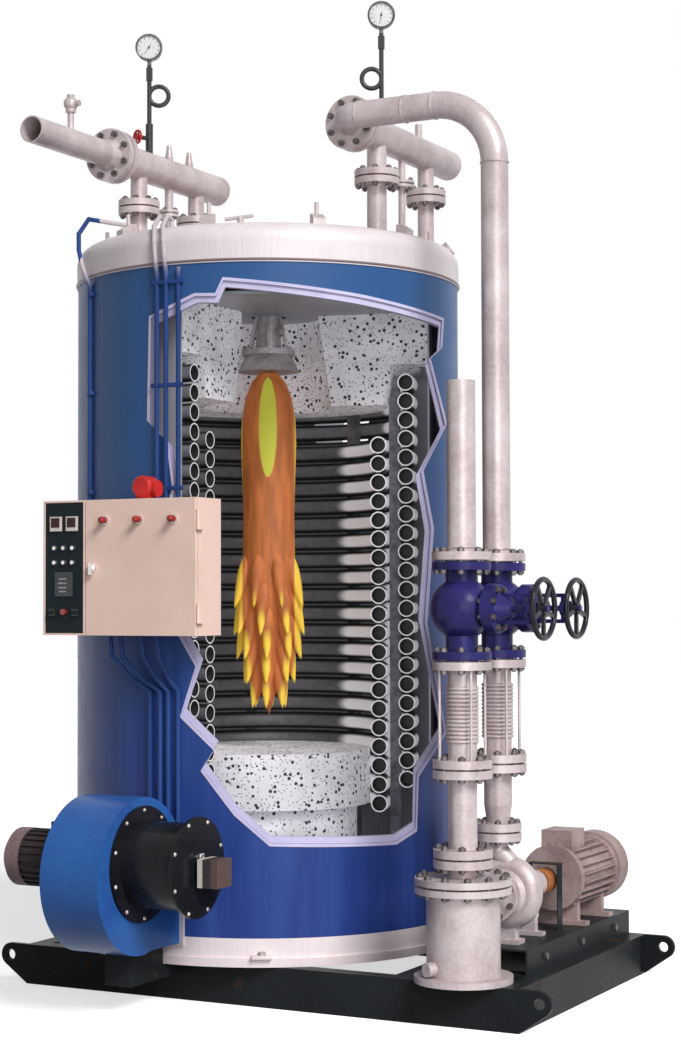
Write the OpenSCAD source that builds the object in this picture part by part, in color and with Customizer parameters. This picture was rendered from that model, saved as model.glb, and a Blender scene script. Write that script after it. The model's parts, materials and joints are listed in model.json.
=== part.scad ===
// Thermal oil heater, cut open for display, on a lifting skid with its pump set and blower.
// Millimetres, +Z up. The origin is on the vessel's axis at floor level, -Y is the cabinet side.

/* [Skid] */
// Length of the two long beams, without the lifting lugs
skid_len = 2312; // [2250:1:2800]
// Width over the outer faces of the long beams
skid_w = 1470; // [1420:1:1640]
// Distance from the vessel's axis to the left end of the skid
skid_left = 796; // [770:1:900]
// Height of the beams
beam_h = 170; // [150:1:220]
// Width of a channel flange
beam_flange = 75; // [60:1:100]
// Thickness of a channel web
beam_web = 9; // [7:0.5:14]
// Thickness of a channel flange
beam_flange_t = 12; // [9:0.5:18]
// Width of the cross beams
cross_w = 80; // [60:1:110]
// How far a lifting lug stands out past the beam
lug_len = 136; // [120:1:180]
// Thickness of a lifting lug
lug_t = 20; // [15:1:30]
// Diameter of the hole in a lifting lug
lug_hole_d = 45; // [35:1:55]
// Distance of the lug hole from the lug's top and end
lug_edge = 50; // [44:1:58]

/* [Casing] */
// Outer radius of the casing
shell_r = 858; // [840:1:890]
// Thickness of the casing sheet
shell_t = 6; // [4:0.5:12]
// Height of the painted casing
shell_h = 2778; // [2700:1:2950]
// Height of the drum under the casing
drum_h = 115; // [90:1:150]
// Height of the foot ring round the drum
foot_ring_h = 35; // [25:1:45]
// How far the foot ring stands out past the casing
foot_ring_out = 14; // [8:1:25]
// Thickness of the lining behind the casing sheet
lining_t = 32; // [20:1:45]
// Width of the lining that shows round the window
window_band = 27; // [15:1:40]
// Direction that the window faces, from -Y towards +X
window_az = 27.7; // [20:0.1:35]

/* [Inner vessel] */
// Clearance between the lining and the inner jacket
insulation_gap = 74.7; // [60:0.1:90]
// Thickness of the inner jacket
jacket_t = 8; // [5:0.5:14]
// Height from the inner jacket's top to the casing's top
lid_room = 118; // [100:1:140]
// Direction at which the section through the inside starts, from -Y towards +X
cut_start = 0; // [-8:0.5:8]
// Angle of the section through the inside
cut_angle = 103; // [90:1:112]
// Outside diameter of a coil tube
tube_d = 76; // [68:0.5:80]
// Wall of a coil tube
tube_wall = 7; // [5:0.5:12]
// Depth to which the tubes are bored open at the section
tube_bore = 60; // [30:1:70]
// Distance from the jacket's inside to the centre of the outer coil's tube
outer_coil_gap = 100; // [88:1:110]
// Distance between the centres of the two coils' tubes
coil_spacing = 127; // [120:1:140]
// Gap between the turns of a coil
turn_gap = 8; // [6:0.5:12]
// Least free height above the outer coil
outer_coil_room = 20; // [10:1:60]
// Least free height above the inner coil
inner_coil_room = 100; // [80:1:140]
// Height of the outer coil's lowest turn above the drum
outer_coil_lift = 585; // [560:1:600]
// Height of the inner coil's lowest turn above the drum
inner_coil_lift = 475; // [450:1:500]
// Width of a bar that carries a coil
bar_w = 40; // [30:1:60]
// Distance from the centre of the inner coil's tube to the chamber floor
floor_gap = 55; // [46:1:70]
// Thickness of the chamber floor
floor_t = 240; // [200:1:260]
// Height of the ring wall under the chamber floor
floor_lift = 475; // [440:1:500]
// Thickness of the burner block
block_t = 230; // [200:1:260]
// Depth of the burner block's skirt below its seat
block_drop = 180; // [140:1:200]
// Radius of the burner's throat in the block
throat_r = 235; // [220:1:260]
// Greatest radius of the display flame
flame_r = 125; // [100:1:140]
// Height of the flame's point above the chamber floor
flame_gap = 146.7; // [100:0.1:400]

/* [Cap] */
// Height of the cap's upright skirt
cap_skirt_h = 95; // [80:1:110]
// Radius of the cap's rounded shoulder
cap_shoulder_r = 80; // [60:1:100]
// Rise of the roof from the shoulder to the middle
cap_rise = 60; // [40:1:80]
// Thickness of the cap
cap_t = 12; // [8:0.5:16]
// How far the cap's skirt stands out past the casing
cap_out = 5; // [3:0.5:10]
// Radius of the burner's cover on the roof
cover_r = 220; // [180:1:260]
// Height of the burner's cover
cover_h = 40; // [30:1:60]
// Clamps round the rim of the cap
clamp_count = 10; // [6:1:12]
// Outside diameter of the flue spigot
flue_d = 320; // [280:1:360]
// Distance of the flue spigot below the ledge that carries the burner block
flue_gap = 56; // [40:1:120]
// How far the flue spigot stands out past the casing
flue_len = 150; // [120:1:200]

/* [Pipework] */
// Outside diameter of the main pipes
pipe_d = 114.3; // [108:0.1:118]
// Wall of the main pipes
pipe_wall = 6; // [4:0.1:9]
// Height of a flange's raised face
face_h = 4; // [2:0.5:6]
// Diameter of the main flanges
flange_d = 235; // [225:1:245]
// Thickness of a main flange
flange_t = 36; // [28:1:44]
// Outside diameter of the two headers
header_d = 139.7; // [130:0.1:145]
// Distance of the outlet header from the vessel's axis, to the left
outlet_x = 500; // [480:1:520]
// Height of the outlet header above the roof's shoulder
outlet_rise = 400; // [380:1:440]
// Front end of the outlet header, from the vessel's axis towards -Y
outlet_front = 520; // [500:1:560]
// Length of the outlet header
outlet_len = 890; // [820:1:900]
// Length of the open outlet pipe
outlet_pipe_len = 570; // [480:1:700]
// Distance of the inlet header from the vessel's axis, to the right
inlet_x = 530; // [515:1:545]
// Height of the inlet header above the roof's shoulder
inlet_rise = 500; // [480:1:540]
// Length of the inlet header
inlet_len = 980; // [900:1:1000]
// Bend radius of the elbow at the inlet header
elbow_r = 100; // [90:1:110]
// Bend radius at the top of the tall feed pipe
top_bend_r = 270; // [230:1:300]
// Distance of the pipe stacks from the vessel's axis
stack_x = 1257; // [1240:1:1290]
// Distance of the return stack from the vessel's axis towards -Y
return_y = 670; // [650:1:690]
// Spacing between the return stack and the feed stack
stack_gap = 350; // [335:1:365]
// Height of the return pipe's open top above its valve
return_pipe_len = 715; // [600:1:800]
// Height of a stop valve between its outer flange faces
valve_h = 393; // [370:1:430]
// Reach of a stop valve from its pipe to its handwheel
valve_reach = 345; // [330:1:380]
// Diameter of a handwheel
wheel_d = 250; // [220:1:280]
// Length of a bellows with its flanges
bellows_h = 424; // [400:1:460]
// Corrugations of a bellows
bellows_waves = 14; // [10:1:16]
// Dial diameter of the pressure gauges
dial_d = 118; // [100:1:130]
// Diameter of the siphon tubes
siphon_d = 21; // [16:0.5:26]
// Radius of a siphon's ring
siphon_r = 44; // [36:1:50]

/* [Pump set] */
// Diameter of the filter pot
pot_d = 292; // [270:1:310]
// Height of the filter pot's body
pot_h = 350; // [330:1:400]
// Diameter of the filter pot's flanges
pot_flange_d = 382; // [360:1:400]
// Distance from the stacks to the pump's shaft, to the right
shaft_out = 40; // [30:1:50]
// Height of the pump's shaft above the plinth
shaft_rise = 205; // [190:1:230]
// Height of the pump plinth
plinth_h = 100; // [80:1:120]
// Width of the pump plinth
plinth_w = 280; // [250:1:290]
// Radius of the pump's volute
volute_r = 150; // [135:1:165]
// Radius of the volute's round tube
volute_tube_r = 46; // [40:1:50]
// Width of the pump's volute
volute_w = 96; // [84:1:110]
// Radius of the pump motor's body
pump_motor_r = 138; // [125:1:145]
// Length of the pump motor with its fan cowl
pump_motor_len = 560; // [500:1:600]

/* [Blower] */
// Radius of the blower's scroll
scroll_r = 312; // [290:1:330]
// Width of the blower's scroll
scroll_w = 270; // [240:1:300]
// Right face of the scroll, from the vessel's axis
scroll_face_x = 95; // [60:1:120]
// Clearance between the scroll and the casing
scroll_gap = 18; // [10:1:30]
// Height of the blower's shaft above the floor
blower_z = 590; // [570:1:620]
// Height of the blower's outlet duct
duct_h = 190; // [160:1:220]
// Width of the blower's outlet duct
duct_w = 220; // [180:1:240]
// Radius of the intake tube
intake_r = 172; // [150:1:190]
// Length of the intake tube
intake_len = 262; // [220:1:300]
// Radius of the blower motor
blower_motor_r = 118; // [105:1:130]
// Length of the blower motor
blower_motor_len = 345; // [300:1:380]

/* [Control cabinet] */
// Width of the cabinet
cabinet_w = 740; // [700:1:800]
// Height of the cabinet
cabinet_h = 556; // [520:1:600]
// Depth of the cabinet
cabinet_d = 200; // [180:1:230]
// Thickness of the cabinet's walls
cabinet_wall = 6; // [4:0.5:10]
// Left side of the cabinet, from the vessel's axis
cabinet_left = 462; // [430:1:490]
// Underside of the cabinet above the floor
cabinet_z = 1522; // [1480:1:1560]
// Width of the instrument panel beside the door
panel_w = 208; // [190:1:230]
// Thickness of the cabinet's door
door_t = 22; // [16:1:30]
// Clearance round the door
door_gap = 5; // [5:0.5:7]
// Distance of the cabinet's back from the casing
cabinet_off = 26; // [24:1:40]
// Diameter of the conduits
conduit_d = 20; // [16:0.5:22]

/* [Hidden] */
$fn = 64;

// Seat clearance between round pieces that only rest on each other
seat = 0.3;
eps = 0.5;

// Skid
skid_right = skid_len - skid_left;
beam_y = skid_w / 2;

// Casing and cap
drum_top = beam_h + drum_h;
shell_top = drum_top + shell_h;
lining_r = shell_r - shell_t - seat;
lining_in = lining_r - lining_t;
jacket_r = lining_in - insulation_gap;
jacket_in = jacket_r - jacket_t;
jacket_h = shell_h - lid_room;
jacket_top = drum_top + jacket_h;
lining_boards = 12;
jacket_plates = 5;
plate_joint = 0.6;
plate_fn = 160;
bead_r = 5;
lid_t = 14;
ledge_t = 14;
ledge_w = 45;
ledge_z = jacket_top - block_t;
skirt_r = shell_r + cap_out;
skirt_top = shell_top + cap_skirt_h;
roof_r = skirt_r - cap_shoulder_r;
roof_edge_z = skirt_top + cap_shoulder_r;
roof_top_z = roof_edge_z + cap_rise;
// Point at a direction and distance from the vessel's axis
function on(azimuth, radius, z) = [radius * sin(azimuth), -radius * cos(azimuth), z];
// Height of the roof at a distance from the vessel's axis
function roof_z(r) = roof_top_z - (r - cover_r) * cap_rise / (roof_r - cover_r);

flue_z = ledge_z - ledge_t - flue_gap - flue_d / 2;
flue_start = jacket_in - 25;
flue_wall = 8;
flue_flange_t = 16;

// Casing left of, right of, under and over the window, as seen from the front of the window
window_rim = [403, 98, 395, 103];
// Outline of the window in steps from its left end and its foot, with the steps across and up
window_steps = [[61, 456], [171, 444], [242, 435], [240, 410], [229, 398], [243, 345], [220, 302],
    [228, 256], [222, 180], [241, 87], [217, 54], [216, 9], [199, 0], [98, 4], [70, 29], [44, 64],
    [55, 81], [28, 107], [42, 148], [18, 190], [30, 221], [14, 244], [23, 287], [17, 324], [0, 342],
    [0, 428], [38, 444], [55, 443]];
window_grid = [243, 456];
window_size = [2 * shell_r - window_rim[0] - window_rim[1], shell_h - window_rim[2] - window_rim[3]];
window_corner = [window_rim[0] - shell_r, drum_top + window_rim[2]];
// Point of the window's outline, from its steps: distance from the axis, height
function window_point(s) = window_corner
    + [s.x * window_size.x / window_grid.x, s.y * window_size.y / window_grid.y];
window_outline = [for (s = window_steps) window_point(s)];
window_middle = window_point([121, 224]);

// Coils and chamber
outer_coil_r = jacket_in - outer_coil_gap;
inner_coil_r = outer_coil_r - coil_spacing;
coil_pitch = tube_d + turn_gap;
coil_low = drum_top + tube_d / 2;
outer_coil_space = ledge_z - ledge_t - outer_coil_room - coil_low - outer_coil_lift;
outer_turns = 1 + floor(outer_coil_space / coil_pitch);
inner_coil_space = ledge_z - block_drop - inner_coil_room - coil_low - inner_coil_lift;
inner_turns = 1 + floor(inner_coil_space / coil_pitch);
outer_lengths = 4;
inner_lengths = 7;
coil_bar_az = [112, 165, 218, 271, 340];
bar_gap = 5;
floor_r = inner_coil_r - floor_gap;
floor_top = drum_top + floor_lift + floor_t;
throat_flare = 60;
block_foot_r = inner_coil_r + 30;
block_seat_r = inner_coil_r + 60;
burner_z = ledge_z - block_drop * 0.1;
flame_len = burner_z - seat - floor_top - flame_gap;
burner_ring_r = 140;
burner_tube_r = 80;
burner_plate_t = 16;

// Stacks of the pipework, from the floor up
feed_y = -return_y + stack_gap;
pot_base_t = 26;
pot_top = beam_h + pot_base_t + pot_h;
lid_plate_t = 30;
neck_len = 75;
neck_top = pot_top + lid_plate_t + neck_len;
bellows_z = 1000;
valve_z = bellows_z + bellows_h;
valve_top = valve_z + valve_h;
valve_mid = valve_z + valve_h * 0.52;
pump_flange_z = 684;
pump_flange_d = 190;
pump_flange_t = 36;
pump_neck_d = 82;

// Headers
outlet_z = roof_edge_z + outlet_rise;
inlet_z = roof_edge_z + inlet_rise;
inlet_front = -feed_y - elbow_r - flange_t;
header_cap = 0.45;
face_share = 0.68;
elbow_swell = 1.06;
riser_d = 76;
riser_flange_d = 186;
riser_flange_t = 32;
riser_joint = 165;
small_riser_d = 40;
outlet_riser_y = [-307, -54, 184];
inlet_riser_first = 45;
inlet_riser_last = shell_r - 303;
inlet_riser_y = [inlet_riser_first, (inlet_riser_first + inlet_riser_last) / 2, inlet_riser_last];

// Pump set
plinth_z = beam_h;
plinth_top = plinth_z + plinth_h;
shaft_x = stack_x + shaft_out;
shaft_z = plinth_top + shaft_rise;
volute_front = feed_y - volute_w / 2;
volute_back = feed_y + volute_w / 2;
suction_d = 114.3;
suction_flange_d = 200;
suction_flange_t = 24;
pot_outlet = pot_flange_d / 2 + 10 + suction_flange_t;
bearing_len = 250;
coupling_y = volute_back + bearing_len + 22;
coupling_len = 96;
coupling_r = 52;
motor_y = coupling_y + coupling_len + 62;

// Blower
scroll_y = -shell_r - scroll_gap - scroll_r;
scroll_back_x = scroll_face_x - scroll_w;
scroll_drop = 18;
duct_z = blower_z - scroll_drop - scroll_r;
duct_x = scroll_face_x - 25 - duct_w;

// Cabinet
cabinet_back = -shell_r - cabinet_off;
cabinet_front = cabinet_back - cabinet_d;
cabinet_x0 = -cabinet_left;
cabinet_x1 = cabinet_x0 + cabinet_w;
cabinet_top = cabinet_z + cabinet_h;
door_x0 = cabinet_x0 + panel_w;
hinge_r = 8;
hinge_h = 40;
hinge_leaf = hinge_r + 1;
hinge_arm = 34;
hinge_x = cabinet_x1 + hinge_leaf;
hinge_y = cabinet_front + (door_t - door_gap) / 2;
hinge_zs = [cabinet_z + 90, cabinet_top - 90];
panel_rim = 8;
panel_recess = 10;
panel_face = 6;

paint_blue = [0.12, 0.28, 0.55];
silver_paint = [0.78, 0.74, 0.73];
valve_blue = [0.17, 0.14, 0.52];
skid_black = [0.09, 0.10, 0.11];

// Turns a shape that stands on the floor so that it points along +X
module along_x(place) {
    translate(place) rotate([0, 90, 0]) children();
}

// Turns a shape that stands on the floor so that it points along +Y
module along_y(place) {
    translate(place) rotate([-90, 0, 0]) children();
}

// Moves a shape round the vessel to a direction measured from -Y towards +X
module around(azimuth) {
    rotate([0, 0, azimuth]) children();
}

module tube(d, wall, h) {
    difference() {
        cylinder(d = d, h = h);
        translate([0, 0, -eps]) cylinder(d = d - 2 * wall, h = h + 2 * eps);
    }
}

// Quarter bend in the XZ plane: starts at the origin along +Z and ends along -X
module quarter_bend(d, r) {
    translate([-r, 0, 0]) rotate([90, 0, 0]) rotate_extrude(angle = 90) translate([r, 0]) circle(d = d);
}

// Round rod from one point to another
module rod(from, to, d) {
    way = to - from;
    translate(from) rotate([0, acos(way.z / norm(way)), atan2(way.y, way.x)]) cylinder(d = d,
        h = norm(way));
}

// Round pipe along a line of points, with an elbow at each corner
module pipe_run(points, d) {
    for (i = [0 : len(points) - 2]) rod(points[i], points[i + 1], d);
    for (i = [1 : len(points) - 2]) translate(points[i]) sphere(d = d * elbow_swell);
}

// Solid of revolution that leaves out the section through the inside
module sectioned() {
    around(cut_start + cut_angle - 90) rotate_extrude(angle = 360 - cut_angle) children();
}

// A profile turned round the vessel in equal plates between two directions, with a joint after each
module plates(from, to, count, radius) {
    step = (to - from) / count;
    joint = plate_joint / radius * 180 / PI;
    for (i = [0 : count - 1]) around(from + i * step - 90)
        rotate_extrude(angle = step - joint, $fn = plate_fn) children();
}

// The window as a prism from the vessel's axis outwards, grown by a band
module window_prism(grow) {
    outline = [for (p = window_outline)
        let (d = p - window_middle) window_middle + d * (1 + grow / norm(d))];
    around(window_az) rotate([90, 0, 0]) linear_extrude(shell_r + 100) polygon(outline);
}

// Skid
module channel(length) {
    rotate([90, 0, 90]) linear_extrude(length) polygon([[0, 0], [beam_flange, 0],
        [beam_flange, beam_flange_t], [beam_web, beam_flange_t], [beam_web, beam_h - beam_flange_t],
        [beam_flange, beam_h - beam_flange_t], [beam_flange, beam_h], [0, beam_h]]);
}

module lug_outline() {
    hole = [lug_len - lug_edge, beam_h - lug_edge];
    touch = atan2(-hole.y, -hole.x) + acos(lug_edge / norm(hole));
    difference() {
        union() {
            polygon([[-beam_flange, 0], [0, 0], hole + lug_edge * [cos(touch), sin(touch)], hole,
                [hole.x, beam_h], [-beam_flange, beam_h]]);
            translate(hole) circle(lug_edge);
        }
        translate(hole) circle(d = lug_hole_d);
    }
}

module long_beam() {
    translate([-skid_left, 0, 0]) channel(skid_len);
    translate([skid_right, 0, 0]) rotate([90, 0, 0]) translate([0, 0, -lug_t]) linear_extrude(lug_t)
        lug_outline();
    translate([-skid_left, 0, 0]) mirror([1, 0, 0]) rotate([90, 0, 0])
        translate([0, 0, -lug_t]) linear_extrude(lug_t) lug_outline();
}

module front_beam() color(skid_black) translate([0, -beam_y, 0]) long_beam();

module rear_beam() color(skid_black) mirror([0, 1, 0]) translate([0, -beam_y, 0]) long_beam();

module cross_beams() color(skid_black) {
    inside = beam_y - beam_flange;
    for (x = [-skid_left, -cross_w / 2, stack_x - plinth_w / 2 - 2 * cross_w, skid_right - cross_w])
        translate([x, -inside, 0]) cube([cross_w, 2 * inside, beam_h]);
    translate([stack_x - plinth_w / 2 - cross_w, feed_y - volute_w - cross_w / 2, 0])
        cube([skid_right - stack_x + plinth_w / 2, cross_w, beam_h]);
}

module pump_plinth() color(skid_black) {
    front = feed_y - volute_w - cross_w / 2;
    wall = 8;
    translate([shaft_x - plinth_w / 2, front, plinth_z]) difference() {
        cube([plinth_w, beam_y - front, plinth_h]);
        translate([wall, -eps, -eps]) cube([plinth_w - 2 * wall, beam_y - front + 2 * eps,
            plinth_h - wall + eps]);
    }
}

// Casing
module base_drum() color(silver_paint) {
    translate([0, 0, beam_h]) cylinder(r = shell_r + foot_ring_out, h = foot_ring_h);
    translate([0, 0, beam_h]) cylinder(r = shell_r, h = drum_h);
}

module casing_shell() color(paint_blue) difference() {
    translate([0, 0, drum_top]) tube(2 * shell_r, shell_t, shell_h);
    window_prism(window_band);
    flue_hole();
}

module casing_lining() color([0.80, 0.78, 0.92]) difference() {
    first = -180 / lining_boards;
    plates(first, first + 360, lining_boards, lining_in)
        translate([lining_in, drum_top]) square([lining_t, shell_h]);
    window_prism(0);
    flue_hole();
}

module flue_hole() {
    along_y([0, 0, flue_z]) cylinder(d = flue_d, h = shell_r + eps);
}

// Inner vessel
module inner_jacket() color([0.62, 0.62, 0.64]) difference() {
    plates(cut_start + cut_angle, cut_start + 360, jacket_plates, jacket_in) {
        translate([jacket_in, drum_top]) square([jacket_t, jacket_h]);
        translate([jacket_in - ledge_w, ledge_z - ledge_t]) square([ledge_w + eps, ledge_t]);
    }
    flue_hole();
}

// A coil of level turns in bent lengths of tube, bored open at the two ends where the section runs
module coil(radius, lift, turns, lengths) {
    from = cut_start + cut_angle;
    step = (360 - cut_angle) / lengths;
    for (i = [0 : turns - 1]) translate([0, 0, drum_top + lift + i * coil_pitch]) {
        plates(from + step, cut_start + 360 - step, lengths - 2, radius) tube_section(radius);
        difference() {
            plates(from, from + step, 1, radius) tube_section(radius);
            around(from) tube_mouth(radius, 90);
        }
        difference() {
            plates(cut_start + 360 - step, cut_start + 360, 1, radius) tube_section(radius);
            around(cut_start) tube_mouth(radius, -90);
        }
    }
}

module tube_section(radius) translate([radius, 0]) circle(d = tube_d);

module tube_mouth(radius, turn) translate([0, -radius, 0]) rotate([0, turn, 0])
    translate([0, 0, -eps]) cylinder(d = tube_d - 2 * tube_wall, h = tube_bore + eps);

module outer_coil() color([0.55, 0.56, 0.58]) coil(outer_coil_r, outer_coil_lift,
    outer_turns, outer_lengths);

module inner_coil() color([0.45, 0.46, 0.48]) coil(inner_coil_r, inner_coil_lift,
    inner_turns, inner_lengths);

module coil_supports() color([0.30, 0.30, 0.32]) {
    inside = inner_coil_r + tube_d / 2 + seat;
    outside = sqrt(pow(outer_coil_r - tube_d / 2 - seat, 2) - pow(bar_w / 2, 2));
    height = outer_coil_lift + (outer_turns - 1) * coil_pitch + tube_d / 2;
    difference() {
        for (azimuth = coil_bar_az) around(azimuth) translate([-bar_w / 2, -outside, drum_top])
            cube([bar_w, outside - inside, height]);
        rotate_extrude() polygon([[0, ledge_z - block_drop - bar_gap],
            [block_foot_r + bar_gap, ledge_z - block_drop - bar_gap],
            [block_seat_r + bar_gap, ledge_z], [0, ledge_z]]);
    }
}

module chamber_floor() color([0.82, 0.82, 0.80]) {
    translate([0, 0, drum_top + floor_lift]) cylinder(r = floor_r, h = floor_t);
    translate([0, 0, drum_top]) tube(2 * floor_r - 120, 80, floor_lift);
}

module burner_block() color([0.86, 0.86, 0.84]) sectioned() polygon([[throat_r, jacket_top],
    [throat_r + throat_flare, ledge_z - block_drop], [block_foot_r, ledge_z - block_drop],
    [block_seat_r, ledge_z + seat], [jacket_in - seat, ledge_z + seat], [jacket_in - seat, jacket_top]]);

module inner_lid() color([0.40, 0.40, 0.42]) difference() {
    translate([0, 0, jacket_top + seat]) cylinder(r = jacket_r, h = lid_t - seat);
    translate([0, 0, jacket_top - eps]) cylinder(r = burner_tube_r + seat, h = lid_t + 2 * eps);
}

module burner_head() color([0.70, 0.70, 0.72]) {
    plate_z = jacket_top + lid_t;
    cup_h = 74;
    vane_h = 26;
    cage_h = plate_z - burner_z - cup_h - vane_h;
    cage_r = burner_tube_r * 1.2;
    translate([0, 0, burner_z]) cylinder(r1 = burner_ring_r, r2 = burner_ring_r * 0.74, h = cup_h);
    translate([0, 0, burner_z + cup_h - eps]) cylinder(r = burner_ring_r * 0.86, h = vane_h);
    translate([0, 0, burner_z + cup_h + vane_h - 2 * eps]) cylinder(r = burner_tube_r * 0.7,
        h = cage_h + 2 * eps);
    translate([0, 0, plate_z]) cylinder(r = throat_r, h = burner_plate_t);
    for (azimuth = [0 : 60 : 300])
        around(azimuth + window_az) rod([0, -cage_r, plate_z - cage_h - 4], [0, 6 - burner_tube_r * 0.8,
            plate_z + 4], 14);
    for (azimuth = [0 : 30 : 330])
        around(azimuth) translate([-5, -burner_ring_r * 0.84, burner_z + cup_h + vane_h - 2 * eps])
            cube([10, burner_ring_r * 0.2, 12]);
}

module display_flame() color([0.86, 0.48, 0.14]) {
    // Outline from the rounded top to the point: share of the radius, share of the length
    outline = [[0.34, 0.004], [0.62, 0.03], [0.84, 0.075], [0.97, 0.14], [1, 0.21], [0.96, 0.31],
        [0.92, 0.42],
        [0.94, 0.53], [0.98, 0.6], [0.9, 0.69], [0.7, 0.79], [0.45, 0.88], [0.2, 0.95], [0, 1]];
    // Rows of tongues: share of the length, share of the radius, tongues in the row
    rows = [[0.57, 0.86, 8], [0.67, 0.8, 7], [0.77, 0.62, 6], [0.86, 0.38, 4]];
    tongue = 0.14 * flame_len;
    translate([0, 0, burner_z - seat]) {
        rotate_extrude() polygon(concat([[0, 0]], [for (o = outline) [o[0] * flame_r, -o[1] * flame_len]]));
        for (row = rows, i = [0 : row[2] - 1])
            around((i + row[0] * 7) * 360 / row[2]) translate([0, -row[1] * flame_r, -row[0] * flame_len])
                rotate([180 - 11, 0, 0]) cylinder(r1 = 0.3 * flame_r, r2 = 0, h = tongue);
    }
}

// Cap
module top_cap() color(silver_paint) rotate_extrude() difference() {
    union() {
        cap_section(0);
        translate([skirt_r, shell_top + 2 * bead_r]) circle(bead_r);
    }
    cap_section(cap_t);
}

module cap_section(inset) {
    r = skirt_r - inset;
    low = inset > 0 ? shell_top - 2 * eps : shell_top;
    intersection() {
        union() {
            translate([0, low]) square([r, skirt_top - low]);
            translate([roof_r, skirt_top]) circle(cap_shoulder_r - inset);
            translate([0, skirt_top]) square([roof_r, cap_shoulder_r - inset]);
            polygon([[0, roof_edge_z - inset - eps], [roof_r, roof_edge_z - inset - eps], [roof_r,
                roof_edge_z - inset],
                [cover_r, roof_top_z - inset], [0, roof_top_z - inset]]);
        }
        translate([0, low]) square([2 * r, 2 * r]);
    }
}

module burner_cover() color([0.62, 0.60, 0.60]) {
    translate([0, 0, roof_top_z]) cylinder(r = cover_r, h = cover_h);
}

module lid_clamps() color([0.70, 0.67, 0.66]) {
    block_in = roof_r - 62;
    block_out = roof_r - 6;
    block_h = 44;
    for (i = [0 : clamp_count - 1])
        around(window_az + (i + 0.5) * 360 / clamp_count) {
            rotate([0, 0, -92]) rotate_extrude(angle = 4) polygon([[block_in, roof_z(block_in)],
                [block_out, roof_z(block_out)], [block_out, roof_z(block_out) + block_h * 0.6],
                [block_in + 20, roof_z(block_in) + block_h], [block_in, roof_z(block_in) + block_h]]);
            translate([0, -(block_in + 12), roof_z(block_in) + block_h - eps]) cylinder(r = 9, h = 50);
        }
}

module flue_spigot() color([0.55, 0.54, 0.54]) {
    along_y([0, 0, flue_z]) difference() {
        union() {
            translate([0, 0, flue_start]) cylinder(d = flue_d - 2 * seat,
                h = shell_r + flue_len - flue_start);
            translate([0, 0, shell_r + flue_len - flue_flange_t]) cylinder(d = flue_d + 90,
                h = flue_flange_t);
        }
        translate([0, 0, flue_start - eps]) cylinder(d = flue_d - 2 * flue_wall, h = flue_len + shell_r);
    }
}

// Headers
module header_body(length) {
    cylinder(d = header_d, h = length);
    translate([0, 0, length - header_d * header_cap / 2]) intersection() {
        sphere(d = header_d * 1.18);
        cylinder(d = header_d, h = header_d);
    }
}

module outlet_header() color(silver_paint) {
    along_y([-outlet_x, -outlet_front, outlet_z]) {
        header_body(outlet_len);
        pipe_flange(-1);
    }
    for (y = [outlet_riser_y[1], outlet_riser_y[1] + 175])
        translate([-outlet_x, y, outlet_z]) {
            cylinder(d = 40, h = header_d / 2 + 14);
            translate([0, 0, header_d / 2 + 14 - eps]) cylinder(d1 = 36, d2 = 20, h = 55);
        }
}

module outlet_risers() color(silver_paint) {
    for (y = [outlet_riser_y[0], outlet_riser_y[2]])
        riser(-outlet_x, y, outlet_z, riser_d, riser_flange_d, riser_flange_t);
    riser(-outlet_x, outlet_riser_y[1], outlet_z, small_riser_d, 90, 16);
    difference() {
        translate([-outlet_x, outlet_riser_y[2], roof_edge_z]) cylinder(d1 = 1.9 * riser_d,
            d2 = riser_d - 1, h = 90);
        rotate_extrude() cap_section(0);
    }
}

// A riser from the roof to a header, with a flange pair at the joint
module riser(x, y, header_z, d, joint_d, joint_t) {
    joint_z = header_z - riser_joint - joint_t;
    difference() {
        union() {
            translate([x, y, skirt_top]) cylinder(d = d, h = header_z - skirt_top);
            translate([x, y, joint_z - joint_t]) flange(joint_d, joint_t, 1);
            translate([x, y, joint_z - eps]) flange(joint_d, joint_t, -1);
        }
        along_y([x, y - header_d, header_z]) cylinder(d = header_d, h = 2 * header_d);
        rotate_extrude() cap_section(0);
    }
}

module outlet_pipe() color(silver_paint) {
    along_y([-outlet_x, -outlet_front - flange_t - outlet_pipe_len, outlet_z]) difference() {
        union() {
            cylinder(d = pipe_d, h = outlet_pipe_len + flange_t);
            translate([0, 0, outlet_pipe_len]) pipe_flange(1);
            translate([0, 0, outlet_pipe_len - 40]) cylinder(d1 = pipe_d, d2 = pipe_d + 30, h = 40 + eps);
        }
        translate([0, 0, -eps]) cylinder(d = pipe_d - 2 * pipe_wall,
            h = outlet_pipe_len + flange_t + 2 * eps);
    }
}

module thermowell() color(silver_paint) {
    place = [-outlet_x, -outlet_front - flange_t - outlet_pipe_len + 285, outlet_z];
    difference() {
        translate(place) cylinder(d = 28, h = pipe_d / 2 + 72);
        along_y(place - [0, 50, 0]) cylinder(d = pipe_d, h = 100);
    }
    translate(place + [0, 0, pipe_d / 2 + 72 - eps]) {
        cylinder(d = 44, h = 20);
        translate([0, 0, 38]) sphere(d = 62);
        translate([0, 0, 62]) cylinder(d = 34, h = 14);
    }
    along_x(place + [0, 0, pipe_d / 2 + 108]) cylinder(d = 26, h = 46);
}

// A pressure gauge on a ring siphon: tube from the floor of the shape up to the dial's middle
module gauge(height, ring_z, side) {
    cylinder(d = siphon_d, h = height - dial_d / 2 - 90);
    translate([side * siphon_r, 0, ring_z]) rotate([90, 0, 0]) rotate_extrude() translate([siphon_r, 0])
        circle(d = siphon_d);
    translate([0, 0, height - dial_d / 2 - 90 - eps]) cylinder(d = 30, h = 60, $fn = 6);
    translate([0, 0, height - dial_d / 2 - 40]) cylinder(d = 20, h = 60);
    translate([0, 14, height]) rotate([90, 0, 0]) cylinder(d = dial_d, h = 34);
}

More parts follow.
